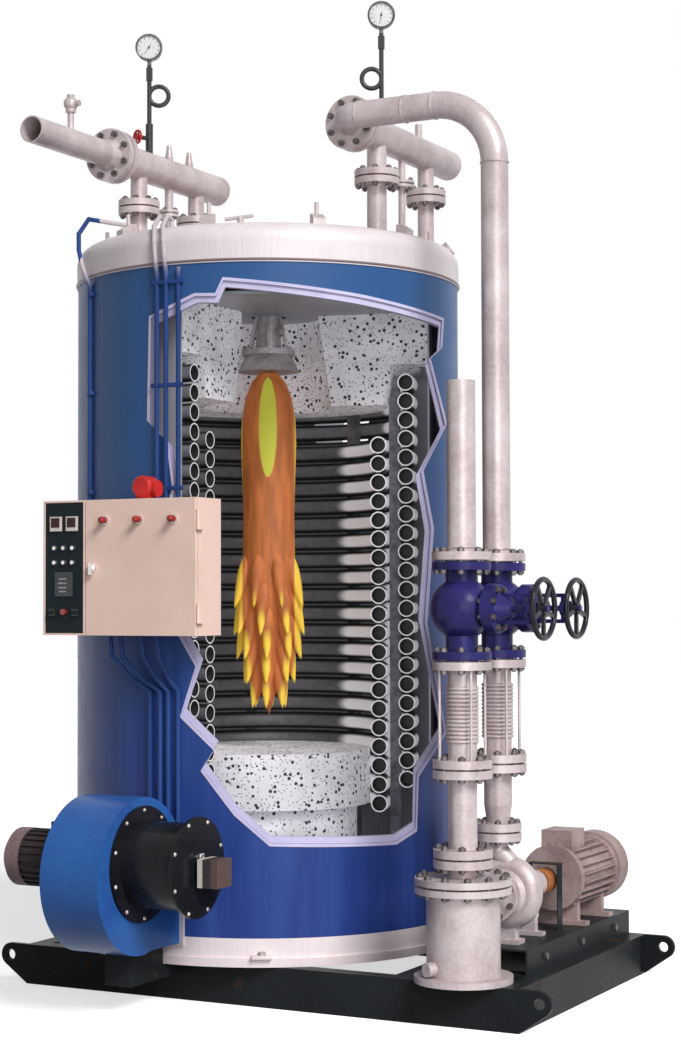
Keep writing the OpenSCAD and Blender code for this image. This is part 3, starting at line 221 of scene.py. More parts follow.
class ShaderTree:
    """Builds the node tree of a material or of the world."""

    def __init__(self, owner: bpy.types.Material | bpy.types.World) -> None:
        """Empties the owner's tree down to its output.

        Args:
            owner: the material or the world.
        """
        self.owner = owner
        owner.use_nodes = True
        self.tree = owner.node_tree
        self.tree.nodes.clear()
        world = isinstance(owner, bpy.types.World)
        self.out = self.node("ShaderNodeOutputWorld" if world else "ShaderNodeOutputMaterial")

    def node(
        self,
        kind: str,
        inputs: Mapping[str | int, Value] | None = None,
        settings: Mapping[str, object] | None = None,
        stops: Sequence[tuple[float, Colour]] = (),
    ) -> bpy.types.Node:
        """Adds a node.

        Args:
            kind: the node's type.
            inputs: values or fields by socket name or number.
            settings: properties set before the sockets.
            stops: places and colours of a ramp, in rising order.

        Returns:
            The node.
        """
        made = self.tree.nodes.new(kind)
        for name, value in (settings or {}).items():
            setattr(made, name, value)
        for number, (place, colour) in enumerate(stops):
            elements = made.color_ramp.elements
            stop = elements[number] if number < len(elements) else elements.new(place)
            stop.position = place
            stop.color = (*colour, 1.0)
        for name, value in (inputs or {}).items():
            self.feed(made.inputs[name], value)
        return made

    def feed(self, socket: bpy.types.NodeSocket, value: Value) -> None:
        """Links a field to a socket, or sets its value.

        Args:
            socket: the input.
            value: what goes in.
        """
        if isinstance(value, Field):
            self.tree.links.new(value.socket, socket)
        elif isinstance(value, tuple) and socket.type == "RGBA":
            socket.default_value = (*value, 1.0)
        else:
            socket.default_value = value

    def maths(self, operation: str, *values: "Field | float") -> Field:
        """Adds a maths node over its values."""
        made = self.node("ShaderNodeMath", dict(enumerate(values)), {"operation": operation})
        return Field(self, made.outputs[0])

    def spot(self) -> Field:
        """Object coordinates, which are the row frame's."""
        return Field(self, self.node("ShaderNodeTexCoord").outputs["Object"])

    def parts(self, spot: Field) -> tuple[Field, Field, Field]:
        """Splits a point into its three coordinates."""
        made = self.node("ShaderNodeSeparateXYZ", {0: spot})
        return tuple(Field(self, made.outputs[i]) for i in range(3))

    def stretched(self, spot: Field, scale: Point) -> Field:
        """Scales coordinates along each axis."""
        made = self.node("ShaderNodeMapping", {"Vector": spot, "Scale": scale})
        return Field(self, made.outputs[0])

    def noise(self, spot: Field, scale: float, detail: float = 3.0) -> Field:
        """Adds a noise texture."""
        made = self.node("ShaderNodeTexNoise", {"Vector": spot, "Scale": scale, "Detail": detail})
        return Field(self, made.outputs[0])

    def cells(self, spot: Field, scale: float) -> Field:
        """Adds a cell texture's distance."""
        made = self.node("ShaderNodeTexVoronoi", {"Vector": spot, "Scale": scale})
        return Field(self, made.outputs[0])

    def ramp(self, value: Field, *stops: tuple[float, Colour]) -> Field:
        """Colours a value by a ramp."""
        made = self.node("ShaderNodeValToRGB", {0: value}, stops=stops)
        return Field(self, made.outputs[0])

    def mix(self, share: Field | float, low: Value, high: Value) -> Field:
        """Blends two colours."""
        made = self.node("ShaderNodeMix", {0: share, 6: low, 7: high}, {"data_type": "RGBA"})
        return Field(self, made.outputs[2])

    def surface(
        self, inputs: Mapping[str, Value], bump: Field | None = None, depth: float = 0.001
    ) -> bpy.types.Material:
        """Closes the tree with a principled surface.

        Args:
            inputs: the surface's sockets.
            bump: height of fine relief.
            depth: size of the relief in metres.

        Returns:
            The material.
        """
        values = dict(inputs)
        if bump is not None:
            raised = self.node("ShaderNodeBump", {"Height": bump, "Strength": 0.5, "Distance": depth})
            values["Normal"] = Field(self, raised.outputs[0])
        made = self.node("ShaderNodeBsdfPrincipled", values)
        self.tree.links.new(made.outputs[0], self.out.inputs[0])
        return self.owner

    def backdrop(self, felt: bpy.types.Node, shown: bpy.types.Node) -> None:
        """Closes the tree with one shader for light and another for what is seen.

        Args:
            felt: shader that lights the object.
            shown: shader that the camera, gloss and glass see.
        """
        path = self.node("ShaderNodeLightPath")
        kinds = ("Is Camera Ray", "Is Glossy Ray", "Is Transmission Ray")
        camera, gloss, glass = (Field(self, path.outputs[kind]) for kind in kinds)
        seen = self.maths("MAXIMUM", self.maths("MAXIMUM", camera, gloss), glass)
        both = self.node("ShaderNodeMixShader", {0: seen})
        for number, made in enumerate((felt, shown), 1):
            self.tree.links.new(made.outputs[0], both.inputs[number])
        self.tree.links.new(both.outputs[0], self.out.inputs[0])


@dataclass(frozen=True)
class Finish(ABC):
    """A finish, built once and shared."""

    name: str

    def material(self) -> bpy.types.Material:
        """Gives the finish's material, building it the first time.

        Returns:
            The material, which all pieces of this finish share.
        """
        label = f"finish_{self.name}"
        known = bpy.data.materials.get(label)
        return known or self.build(ShaderTree(bpy.data.materials.new(label)))

    @abstractmethod
    def build(self, tree: ShaderTree) -> bpy.types.Material:
        """Builds the material in an empty tree."""


@dataclass(frozen=True)
class Paint(Finish):
    """Paint with mottling, fine grain and, if asked, worn patches."""

    colour: Colour
    shade: Colour
    roughness: float = 0.4
    metallic: float = 0.0
    specular: float = 0.1
    coat: float = 0.0
    patch: float = 3.0
    wear: Colour | None = None
    wear_limit: float = 0.62

    def tint(self, tree: ShaderTree, spot: Field) -> Field:
        """Colours the paint over the object.

        Args:
            tree: the material's tree.
            spot: object coordinates.

        Returns:
            The colour before wear.
        """
        mottle = tree.noise(spot, self.patch, 5.0) * 0.7 + tree.noise(spot, 60.0, 2.0) * 0.3
        return tree.ramp(mottle, (0.34, self.shade), (0.62, self.colour))

    def build(self, tree: ShaderTree) -> bpy.types.Material:
        """Builds the paint.

        Args:
            tree: the material's empty tree.

        Returns:
            The material.
        """
        spot = tree.spot()
        colour = self.tint(tree, spot)
        grain = tree.noise(spot, 140.0, 2.0)
        roughness = tree.noise(spot, 9.0, 4.0) * 0.2 + (self.roughness - 0.1)
        if self.wear is not None:
            worn = tree.noise(spot, 7.0, 8.0).above(self.wear_limit, 0.03)
            colour = tree.mix(worn, colour, self.wear)
            roughness = roughness + worn * 0.25
        values = {
            "Base Color": colour,
            "Roughness": roughness,
            "Metallic": self.metallic,
            "Specular IOR Level": self.specular,
            "Coat Weight": self.coat,
            "Coat Roughness": 0.08,
        }
        return tree.surface(values, grain, 0.0008)


@dataclass(frozen=True)
class HeightShiftPaint(Paint):
    """Paint whose colour shifts with height, to the right of a set place."""

    high: Colour = (0.1, 0.2, 0.4)
    start: float = 0.3
    end: float = 3.0
    left: float = -2.0

    def tint(self, tree: ShaderTree, spot: Field) -> Field:
        """Blends from the low colour to the high one.

        Args:
            tree: the material's tree.
            spot: object coordinates.

        Returns:
            The colour before wear.
        """
        across, _, height = tree.parts(spot)
        middle = (self.start + self.end) / 2.0
        share = height.above(middle, (self.end - self.start) / 2.0) * across.above(self.left)
        streak = tree.noise(tree.stretched(spot, (6.0, 6.0, 0.5)), 2.0, 4.0)
        low = tree.ramp(streak, (0.35, self.shade), (0.65, self.colour))
        return tree.mix(share, low, self.high)


@dataclass(frozen=True)
class BandedPaint(Paint):
    """Paint that changes at set places along one axis."""

    axis: int = 0
    bands: tuple[tuple[float, Colour], ...] = ()

    def tint(self, tree: ShaderTree, spot: Field) -> Field:
        """Lays each band over what comes before it along the axis.

        Args:
            tree: the material's tree.
            spot: object coordinates.

        Returns:
            The colour before wear.
        """
        colour = super().tint(tree, spot)
        along = tree.parts(spot)[self.axis]
        grain = tree.noise(spot, 40.0, 3.0) * 0.25 + 0.82
        for place, paint in self.bands:
            band = tree.mix(1.0 - grain, paint, (0.0, 0.0, 0.0))
            colour = tree.mix(along.above(place), colour, band)
        return colour


@dataclass(frozen=True)
class Sheet(Finish):
    """Rolled metal sheet with faint upright brushing and stains."""

    colour: Colour
    stain: Colour
    roughness: float = 0.36
    metallic: float = 0.3
    seam: tuple[float, float] | None = None

    def build(self, tree: ShaderTree) -> bpy.types.Material:
        """Builds the sheet, with a brown seam between two heights if asked.

        Args:
            tree: the material's empty tree.

        Returns:
            The material.
        """
        spot = tree.spot()
        brush = tree.noise(tree.stretched(spot, (60.0, 60.0, 2.0)), 2.0, 3.0)
        cloud = tree.noise(spot, 2.6, 5.0)
        colour = tree.ramp(cloud * 0.7 + brush * 0.3, (0.32, self.stain), (0.6, self.colour))
        if self.seam is not None:
            height = tree.parts(spot)[2]
            line = height.above(self.seam[0]) * height.below(self.seam[1])
            colour = tree.mix(line, colour, (0.20, 0.14, 0.15))
        values = {
            "Base Color": colour,
            "Roughness": brush * 0.16 + (self.roughness - 0.08),
            "Metallic": self.metallic,
        }
        return tree.surface(values, brush, 0.0005)


@dataclass(frozen=True)
class CoilTube(Finish):
    """Scaled tube, dark, with a painted highlight on the turns near the far cut, painted shade between turns
    and in the bores, bright rings on its cut ends and a painted glow.
    """

    radius: float
    first_z: float
    dark: Colour
    # colour of the painted highlight on the turns near the far cut
    pale: Colour = (0.86, 0.85, 0.88)
    bright: Colour = (0.86, 0.86, 0.88)
    # colour of the painted shade inside the cut bores
    bore_shade: Colour = (0.02, 0.02, 0.022)
    # colour of the painted shade between turns
    black: Colour = (0.010, 0.010, 0.011)
    pitch: float = 0.084
    bore: float = 0.0325
    turn_crease_shade: float = 0.024
    cut_end: float = 103.0
    highlight_reach: float = 0.41
    skin: float = 0.0008
    depth: float = 0.08

    def build(self, tree: ShaderTree) -> bpy.types.Material:
        """Builds the tube.

        Args:
            tree: the material's empty tree.

        Returns:
            The material.
        """
        spot = tree.spot()
        x, y, z = tree.parts(spot)
        turn = math.radians(self.cut_end)
        past = x * math.cos(turn) + y * math.sin(turn)
        right = x.above(0.0)
        # painted highlight: turns on the right side, within reach of the far cut, go pale
        near = past.below(self.highlight_reach, 0.02) * right
        scale = tree.noise(spot, 30.0, 5.0)
        wall = tree.ramp(scale, (0.3, darker(self.dark, 0.7)), (0.7, self.dark))
        colour = tree.mix(near, wall, self.pale)
        out = (x * x + y * y).root() - self.radius
        up = (z - self.first_z).wrapped(-self.pitch / 2.0, self.pitch / 2.0)
        # painted shade: the top and bottom of each turn, where it meets the next turn, go black
        turn_crease_shade = abs(up).above(self.turn_crease_shade, 0.006)
        colour = tree.mix(turn_crease_shade, colour, self.black)
        rim = (out * out + up * up).root().above(self.bore, 0.0006)
        left = y.below(0.0)
        face, inside = (
            (past.below(reach) * right).either(x.above(-reach) * left) for reach in (self.skin, self.depth)
        )
        colour = tree.mix(face * rim, colour, self.bright)
        # painted shade: inside each bore, as deep as one sees from the cut, goes near black
        colour = tree.mix((1.0 - rim) * inside, colour, self.bore_shade)
        values = {
            "Base Color": colour,
            "Roughness": scale * 0.3 + 0.35,
            "Metallic": 0.1,
            # emission makes the whole tube glow a little: painted light
            "Emission Color": colour,
            "Emission Strength": 0.28,
        }
        return tree.surface(values, scale, 0.0012)


@dataclass(frozen=True)
class Refractory(Finish):
    """Pale cast refractory with dark grit and a faint painted glow."""

    colour: Colour = (0.84, 0.82, 0.86)
    grit: Colour = (0.02, 0.02, 0.024)

    def build(self, tree: ShaderTree) -> bpy.types.Material:
        """Builds the refractory.

        Args:
            tree: the material's empty tree.

        Returns:
            The material.
        """
        spot = tree.spot()
        cloud = tree.noise(spot, 6.0, 4.0)
        base = tree.ramp(cloud, (0.3, darker(self.colour, 0.72)), (0.7, self.colour))
        coarse = tree.cells(spot, 34.0).below(0.26, 0.04)
        fine = tree.cells(spot, 78.0).below(0.22, 0.04)
        grit = coarse.either(fine)
        colour = tree.mix(grit, base, self.grit)
        values = {
            "Base Color": colour,
            "Roughness": 0.92 - grit * 0.2,
            # emission makes the refractory glow a little: painted light
            "Emission Color": colour,
            "Emission Strength": 0.2,
        }
        return tree.surface(values, cloud - grit * 0.3, 0.003)


@dataclass(frozen=True)
class FlameFinish(Finish):
    """Moulded flame: orange with yellow edges and a lime heart on the side that faces the window, with a
    painted glow.
    """

    body: Colour = (0.46, 0.135, 0.034)
    edge: Colour = (0.74, 0.50, 0.05)
    heart: Colour = (0.46, 0.46, 0.045)
    foot_z: float = 1.147
    taper: float = 0.775
    girth: Pairs = (
        (0.0, 0.0), (0.10, 0.112), (0.24, 0.262), (0.42, 0.425), (0.62, 0.55), (0.80, 0.60), (1.0, 0.60)
    )
    girth_scale: float = 5.0
    tip_rise: float = 0.25
    rim: float = 0.117
    heart_low: float = 2.215
    heart_high: float = 2.667
    heart_half: float = 0.040

    def build(self, tree: ShaderTree) -> bpy.types.Material:
        """Builds the flame.

        Args:
            tree: the material's empty tree.

        Returns:
            The material.
        """
        spot = tree.spot()
        x, y, z = tree.parts(spot)
        turn = math.radians(VIEW_AZIMUTH)
        across = x * math.cos(turn) + y * math.sin(turn)
        ahead = x * math.sin(turn) - y * math.cos(turn)
        lick = tree.noise(tree.stretched(spot, (9.0, 9.0, 1.6)), 3.0, 4.0)
        body = tree.ramp(lick, (0.34, darker(self.body, 0.62)), (0.64, self.body))
        rim = abs(across).above(self.rim, 0.004)
        body_radius = tree.ramp((z - self.foot_z) / self.taper, *((at, (r, r, r)) for at, r in self.girth))
        tips = ((x * x + y * y).root() * self.girth_scale - body_radius).above(self.tip_rise, 0.05)
        colour = tree.mix((rim * 0.85).either(tips), body, self.edge)
        share = (z - self.heart_low) / (self.heart_high - self.heart_low)
        width = (share * (1.0 - share) * 4.0 + 0.001).root() * self.heart_half
        heart = (width - abs(across)).above(0.0, 0.004) * ahead.above(0.0) * z.above(self.heart_low)
        colour = tree.mix(heart, colour, self.heart)
        values = {
            "Base Color": colour,
            "Roughness": lick * 0.2 + 0.6,
            # emission makes the moulded flame glow: painted light
            "Emission Color": colour,
            "Emission Strength": 0.35,
        }
        return tree.surface(values, lick, 0.004)


@dataclass(frozen=True)
class GaugeFinish(Finish):
    """Steel case over a black siphon."""

    split_z: float
    steel: Colour = (0.30, 0.29, 0.31)
    black: Colour = (0.022, 0.02, 0.024)

    def build(self, tree: ShaderTree) -> bpy.types.Material:
        """Builds both halves with a step between them.

        Args:
            tree: the material's empty tree.

        Returns:
            The material.
        """
        spot = tree.spot()
        case = tree.parts(spot)[2].above(self.split_z, 0.002)
        grain = tree.noise(spot, 90.0, 3.0)
        dark = tree.ramp(grain, (0.3, darker(self.black, 0.6)), (0.7, self.black))
        bright = tree.ramp(grain, (0.3, darker(self.steel, 0.7)), (0.7, self.steel))
        values = {
            "Base Color": tree.mix(case, dark, bright),
            "Roughness": grain * 0.2 + 0.25,
            "Metallic": case * 0.7,
        }
        return tree.surface(values, grain, 0.0004)


@dataclass(frozen=True)
class PanelFinish(Finish):
    """Meters, knobs, display, switches and lamp of the panel, told apart by where they sit."""

    middle_x: float
    base_z: float
    meters_low: float = 0.41
    knobs_low: float = 0.28
    knobs_high: float = 0.40
    lamp_high: float = 0.125
    lamp_half: float = 0.03

    def build(self, tree: ShaderTree) -> bpy.types.Material:
        """Builds the controls' colours.

        Args:
            tree: the material's empty tree.

        Returns:
            The material.
        """
        spot = tree.spot()
        x, _, z = tree.parts(spot)
        grain = tree.noise(spot, 120.0, 3.0)
        up = z - self.base_z
        lamp = up.below(self.lamp_high) * abs(x - self.middle_x).below(self.lamp_half)
        knobs = up.above(self.knobs_low) * up.below(self.knobs_high)
        dark = tree.ramp(grain, (0.3, (0.012, 0.014, 0.017)), (0.7, (0.035, 0.037, 0.042)))
        pale = tree.ramp(grain, (0.3, (0.66, 0.56, 0.52)), (0.7, (0.82, 0.72, 0.68)))
        colour = tree.mix(knobs, dark, (0.06, 0.058, 0.062))
        colour = tree.mix(up.above(self.meters_low), colour, pale)
        colour = tree.mix(lamp, colour, (0.30, 0.018, 0.014))
        values = {"Base Color": colour, "Roughness": grain * 0.2 + 0.18, "Coat Weight": lamp * 0.6}
        return tree.surface(values)


@dataclass(frozen=True)
class DialFinish(Finish):
    """White dial with slight ageing."""

    colour: Colour = (0.86, 0.85, 0.86)

    def build(self, tree: ShaderTree) -> bpy.types.Material:
        """Builds the dial.

        Args:
            tree: the material's empty tree.

        Returns:
            The material.
        """
        age = tree.noise(tree.spot(), 20.0, 4.0)
        colour = tree.ramp(age, (0.3, darker(self.colour, 0.88)), (0.6, self.colour))
        return tree.surface({"Base Color": colour, "Roughness": age * 0.2 + 0.3})


@dataclass(frozen=True)
class Glass(Finish):
    """Thin clear cover."""

    def build(self, tree: ShaderTree) -> bpy.types.Material:
        """Builds the glass with slightly uneven gloss.

        Args:
            tree: the material's empty tree.

        Returns:
            The material.
        """
        smear = tree.noise(tree.spot(), 30.0, 3.0)
        values = {
            "Base Color": tree.ramp(smear, (0.3, (0.92, 0.95, 0.95)), (0.7, (1.0, 1.0, 1.0))),
            "Roughness": smear * 0.1 + 0.05,
            "Alpha": smear * 0.06 + 0.04,
        }
        return tree.surface(values)


class Palette:
    """Every finish of the heater."""

    skid = Paint(
        "skid", (0.024, 0.027, 0.030), (0.014, 0.016, 0.018), 0.36,
        specular=0.04, wear=(0.050, 0.036, 0.031), wear_limit=0.66,
    )
    # painted light: the casing's higher colour makes it lighter towards the top
    casing = HeightShiftPaint(
        "casing", (0.028, 0.066, 0.285), (0.017, 0.041, 0.215), 0.38,
        specular=0.2, high=(0.030, 0.098, 0.262),
    )
    lining = Paint("lining", (0.66, 0.62, 0.84), (0.58, 0.54, 0.76), 0.75, patch=9.0)
    cladding = Sheet("cladding", (0.80, 0.735, 0.745), (0.67, 0.58, 0.59), 0.42, 0.08, seam=(3.0675, 3.0785))
    drum = Sheet("drum", (0.84, 0.74, 0.75), (0.70, 0.59, 0.60), 0.4, 0.06)
    jacket = Sheet("jacket", (0.50, 0.50, 0.54), (0.30, 0.30, 0.33), 0.45, 0.4)
    outer_coil = CoilTube("outer_coil", 0.637, 0.870, (0.16, 0.16, 0.175))
    inner_coil = CoilTube("inner_coil", 0.510, 0.760, (0.105, 0.105, 0.115))
    support = Paint("support", (0.30, 0.30, 0.32), (0.12, 0.12, 0.13), 0.6, patch=20.0)
    refractory = Refractory("refractory")
    burner = Paint("burner", (0.62, 0.60, 0.63), (0.26, 0.24, 0.24), 0.5, 0.3, patch=8.0)
    flame = FlameFinish("flame")
    silver = Paint("silver", (0.66, 0.575, 0.58), (0.47, 0.385, 0.39), 0.36, 0.25, patch=7.0)
    weld = Paint("weld", (0.60, 0.50, 0.50), (0.36, 0.29, 0.30), 0.5, 0.35, patch=40.0)
    bolt = Paint("bolt", (0.56, 0.50, 0.47), (0.30, 0.26, 0.245), 0.34, 0.6, patch=30.0)
    dark_bolt = Paint("dark_bolt", (0.19, 0.17, 0.17), (0.08, 0.068, 0.068), 0.4, 0.6, patch=30.0)
    valve = Paint("valve", (0.034, 0.031, 0.168), (0.020, 0.017, 0.092), 0.34, coat=0.06, patch=10.0)
    wheel = Paint("wheel", (0.024, 0.022, 0.032), (0.010, 0.010, 0.014), 0.22, coat=0.15, patch=12.0)
    red = Paint("red", (0.60, 0.032, 0.026), (0.44, 0.022, 0.019), 0.25, coat=0.15, patch=12.0)
    lamp = Paint("lamp", (0.40, 0.030, 0.022), (0.20, 0.012, 0.010), 0.15, coat=0.3, patch=60.0)
    pump_motor = Paint("pump_motor", (0.44, 0.325, 0.31), (0.27, 0.19, 0.182), 0.42, patch=8.0)
    blower_motor = BandedPaint(
        "blower_motor", (0.25, 0.17, 0.175), (0.16, 0.105, 0.108), 0.5,
        axis=0, bands=((-0.425, (0.045, 0.034, 0.036)),),
    )
    coupling = Paint("coupling", (0.50, 0.19, 0.07), (0.34, 0.11, 0.04), 0.4, patch=18.0)
    scroll = BandedPaint(
        "scroll", (0.029, 0.130, 0.410), (0.020, 0.080, 0.310), 0.3,
        coat=0.08, axis=1, bands=((-0.868, (0.70, 0.64, 0.64)),),
    )
    intake = Paint("intake", (0.014, 0.015, 0.019), (0.008, 0.008, 0.010), 0.24, coat=0.06, patch=6.0)
    actuator = BandedPaint(
        "actuator", (0.72, 0.66, 0.62), (0.60, 0.54, 0.50), 0.4,
        axis=0, bands=((0.400, (0.055, 0.047, 0.050)), (0.438, (0.13, 0.085, 0.078))),
    )
    cabinet = Paint("cabinet", (0.92, 0.68, 0.58), (0.85, 0.61, 0.52), 0.45, patch=4.0)
    trim = Sheet("trim", (0.70, 0.66, 0.66), (0.50, 0.46, 0.46), 0.3, 0.6)
    panel = Paint("panel", (0.012, 0.020, 0.024), (0.008, 0.013, 0.016), 0.5, patch=10.0)
    controls = PanelFinish("controls", -0.358, 1.522)
    meter = Paint("meter", (0.055, 0.022, 0.020), (0.030, 0.012, 0.012), 0.2, coat=0.15, patch=40.0)
    marks = Paint("marks", (0.42, 0.38, 0.44), (0.28, 0.25, 0.30), 0.4, patch=60.0)
    chrome = Paint("chrome", (0.78, 0.74, 0.74), (0.55, 0.50, 0.50), 0.14, 0.9, patch=30.0)
    conduit = HeightShiftPaint(
        "conduit", (0.030, 0.075, 0.260), (0.020, 0.050, 0.180), 0.35,
        start=3.0, end=3.12, high=(0.56, 0.50, 0.52), left=-0.55,
    )
    dial = DialFinish("dial")
    ink = Paint("ink", (0.016, 0.016, 0.018), (0.010, 0.010, 0.011), 0.4, patch=50.0)
    glass = Glass("glass")
    outlet_gauge = GaugeFinish("outlet_gauge", 4.115)
    inlet_gauge = GaugeFinish("inlet_gauge", 4.205)


class Mesher:
    """Gathers shapes into one mesh and hands it over as a named piece."""

    def __init__(self) -> None:
        """Starts with no shapes."""
        self.bm = bmesh.new()

    @staticmethod
    def facing(at: Vector, axis: Vector) -> Matrix:
        """Turns +Z to an axis at a point."""
        return Matrix.Translation(at) @ axis.to_track_quat("Z", "Y").to_matrix().to_4x4()

    def take(self, shape: bmesh.types.BMesh, place: Matrix) -> None:
        """Adds a finished shape to the piece.

        Args:
            shape: the shape, which is used up.
            place: where it goes.
        """
        bmesh.ops.remove_doubles(shape, verts=shape.verts[:], dist=1e-6)
        bmesh.ops.recalc_face_normals(shape, faces=shape.faces[:])
        bmesh.ops.transform(shape, matrix=place, verts=shape.verts[:])
        scratch = bpy.data.meshes.new("scratch")
        shape.to_mesh(scratch)
        shape.free()
        self.bm.from_mesh(scratch)
        bpy.data.meshes.remove(scratch)

    def rod(
        self, start: Vector, end: Vector, radius: float, sides: int = 8, tip: float | None = None
    ) -> None:
        """Adds a rod or cone between two points.

        Args:
            start: middle of the first end.
            end: middle of the second end.
            radius: radius at the start.
            sides: faces round it.
            tip: radius at the end, the same as the start if not given.
        """
        way = end - start
        shape = bmesh.new()
        bmesh.ops.create_cone(
            shape,
            cap_ends=True,
            segments=sides,
            radius1=radius,
            radius2=radius if tip is None else tip,
            depth=way.length,
        )
        self.take(shape, self.facing((start + end) / 2.0, way.normalized()))

    def lathe(self, profile: Pairs, at: Vector, axis: Vector, steps: int = 24) -> None:
        """Turns a profile round an axis.

        Args:
            profile: radius and height along the axis of each corner.
            at: foot of the axis.
            axis: the axis.
            steps: faces round it.
        """
        shape = bmesh.new()
        corners = [shape.verts.new((r, 0.0, h)) for r, h in profile]
        edges = [shape.edges.new(pair) for pair in zip(corners, corners[1:])]
        bmesh.ops.spin(
            shape,
            geom=corners + edges,
            cent=(0.0, 0.0, 0.0),
            axis=(0.0, 0.0, 1.0),
            angle=FULL_TURN,
            steps=steps,
            use_merge=True,
        )
        self.take(shape, self.facing(at, axis))

    def bead(self, at: Vector, axis: Vector, radius: float, size: float, steps: int = 32) -> None:
        """Adds a rounded bead round a pipe.

        Args:
            at: its middle.
            axis: the pipe's axis.
            radius: the pipe's radius.
            size: radius of the bead's own section.
            steps: faces round it.
        """
        arc = [math.pi * i / 4.0 for i in range(5)]
        profile = [(radius - 0.001 + size * math.sin(a), -size * math.cos(a)) for a in arc]
        self.lathe(profile, at, axis, steps)

    def block(self, middle: Vector, size: Point, bevel: float = 0.0, turn: float = 0.0) -> None:
        """Adds a box with softened edges.

        Args:
            middle: its middle.
            size: its three sides.
            bevel: width of the softened edge.
            turn: degrees about the upright axis.
        """
        shape = bmesh.new()
        bmesh.ops.create_cube(shape, size=1.0, matrix=Matrix.Diagonal((*size, 1.0)))
        if bevel > 0.0:
            edges = shape.edges[:]
            bmesh.ops.bevel(
                shape, geom=edges, offset=bevel, segments=2, profile=0.5, affect="EDGES", material=-1
            )
        self.take(shape, Matrix.Translation(middle) @ Matrix.Rotation(math.radians(turn), 4, "Z"))

    def nut(self, at: Vector, axis: Vector, width: float, height: float) -> None:
        """Adds a six-sided nut or bolt head standing on a face."""
        self.rod(at, at + axis * height, width / 2.0, 6)

    def stud(self, start: Vector, end: Vector, thread: float) -> None:
        """Adds a stud with a nut at each end.

        Args:
            start: outer face at one side of the joint.
            end: outer face at the other side.
            thread: thread diameter.
        """
        axis = (end - start).normalized()
        height = thread * 0.8
        self.rod(start - axis * height * 1.4, end + axis * height * 1.4, thread / 2.0, 6)
        self.nut(start, -axis, thread * 1.85, height)
        self.nut(end, axis, thread * 1.85, height)

    def piece(self, name: str, finish: Finish, body: Body = Body.HEATER) -> bpy.types.Object:
        """Turns the shapes into an object of the scene.

        Args:
            name: the piece's name.
            finish: its finish.
            body: the body that it rides.

        Returns:
            The object.
        """
        mesh = bpy.data.meshes.new(name)
        self.bm.to_mesh(mesh)
        self.bm.free()
        mesh.shade_smooth()
        mesh.set_sharp_from_angle(angle=math.radians(38.0))
        mesh.materials.append(finish.material())
        made = bpy.data.objects.new(name, mesh)
        bpy.context.scene.collection.objects.link(made)
        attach(made, body.value)
        log.info("piece %s rides %s", name, body.value)
        return made


@dataclass(frozen=True)
class FlangeJoint:
    """A bolted pair of flanges."""

    axis: Axis
    at: Point
    span: float
    circle: float
    bolts: int = 8
    thread: float = 0.016

    def dress(self, mesher: Mesher) -> None:
        """Adds the joint's studs and nuts.

        Args:
            mesher: where they go.
        """
        axis = self.axis.value
        middle = Vector(self.at)
        side = axis.orthogonal().normalized()
        for number in range(self.bolts):
            turn = Matrix.Rotation(FULL_TURN * (number + 0.5) / self.bolts, 3, axis)
            spot = middle + turn @ side * self.circle
            mesher.stud(spot - axis * self.span / 2.0, spot + axis * self.span / 2.0, self.thread)


@dataclass
class Assembly(ABC):
    """A part of the heater that is finished and dressed together."""

    finishes: ClassVar[Mapping[str, Finish]] = {}
    nodes: dict[str, bpy.types.Object]

    def paint(self) -> None:
        """Puts a finish on each of the assembly's nodes."""
        for name, finish in self.finishes.items():
            mesh = self.nodes[name].data
            mesh.materials.clear()
            mesh.materials.append(finish.material())

    @abstractmethod
    def dress(self) -> None:
        """Adds the assembly's small pieces."""

    def build(self) -> None:
        """Paints and dresses the assembly."""
        self.paint()
        self.dress()
        log.info("%s: %d nodes", type(self).__name__, len(self.finishes))


@dataclass
class Skid(Assembly):
    """Beams, plinth, guard and bracket."""

    finishes: ClassVar[Mapping[str, Finish]] = dict.fromkeys(
        ("front_beam", "rear_beam", "cross_beams", "pump_plinth", "coupling_guard", "blower_bracket"),
        Palette.skid,
    )
    bolt_places: tuple[float, ...] = (0.16, 0.5, 0.84)

    def dress(self) -> None:
        """Adds the bolts in the plinth's side."""
        low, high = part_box("pump_plinth")
        mesher = Mesher()
        for along in self.bolt_places:
            spot = Vector((high.x, low.y + (high.y - low.y) * along, (low.z + high.z) / 2.0))
            mesher.nut(spot, Axis.X.value, 0.030, 0.012)
        mesher.piece("plinth_bolts", Palette.dark_bolt)


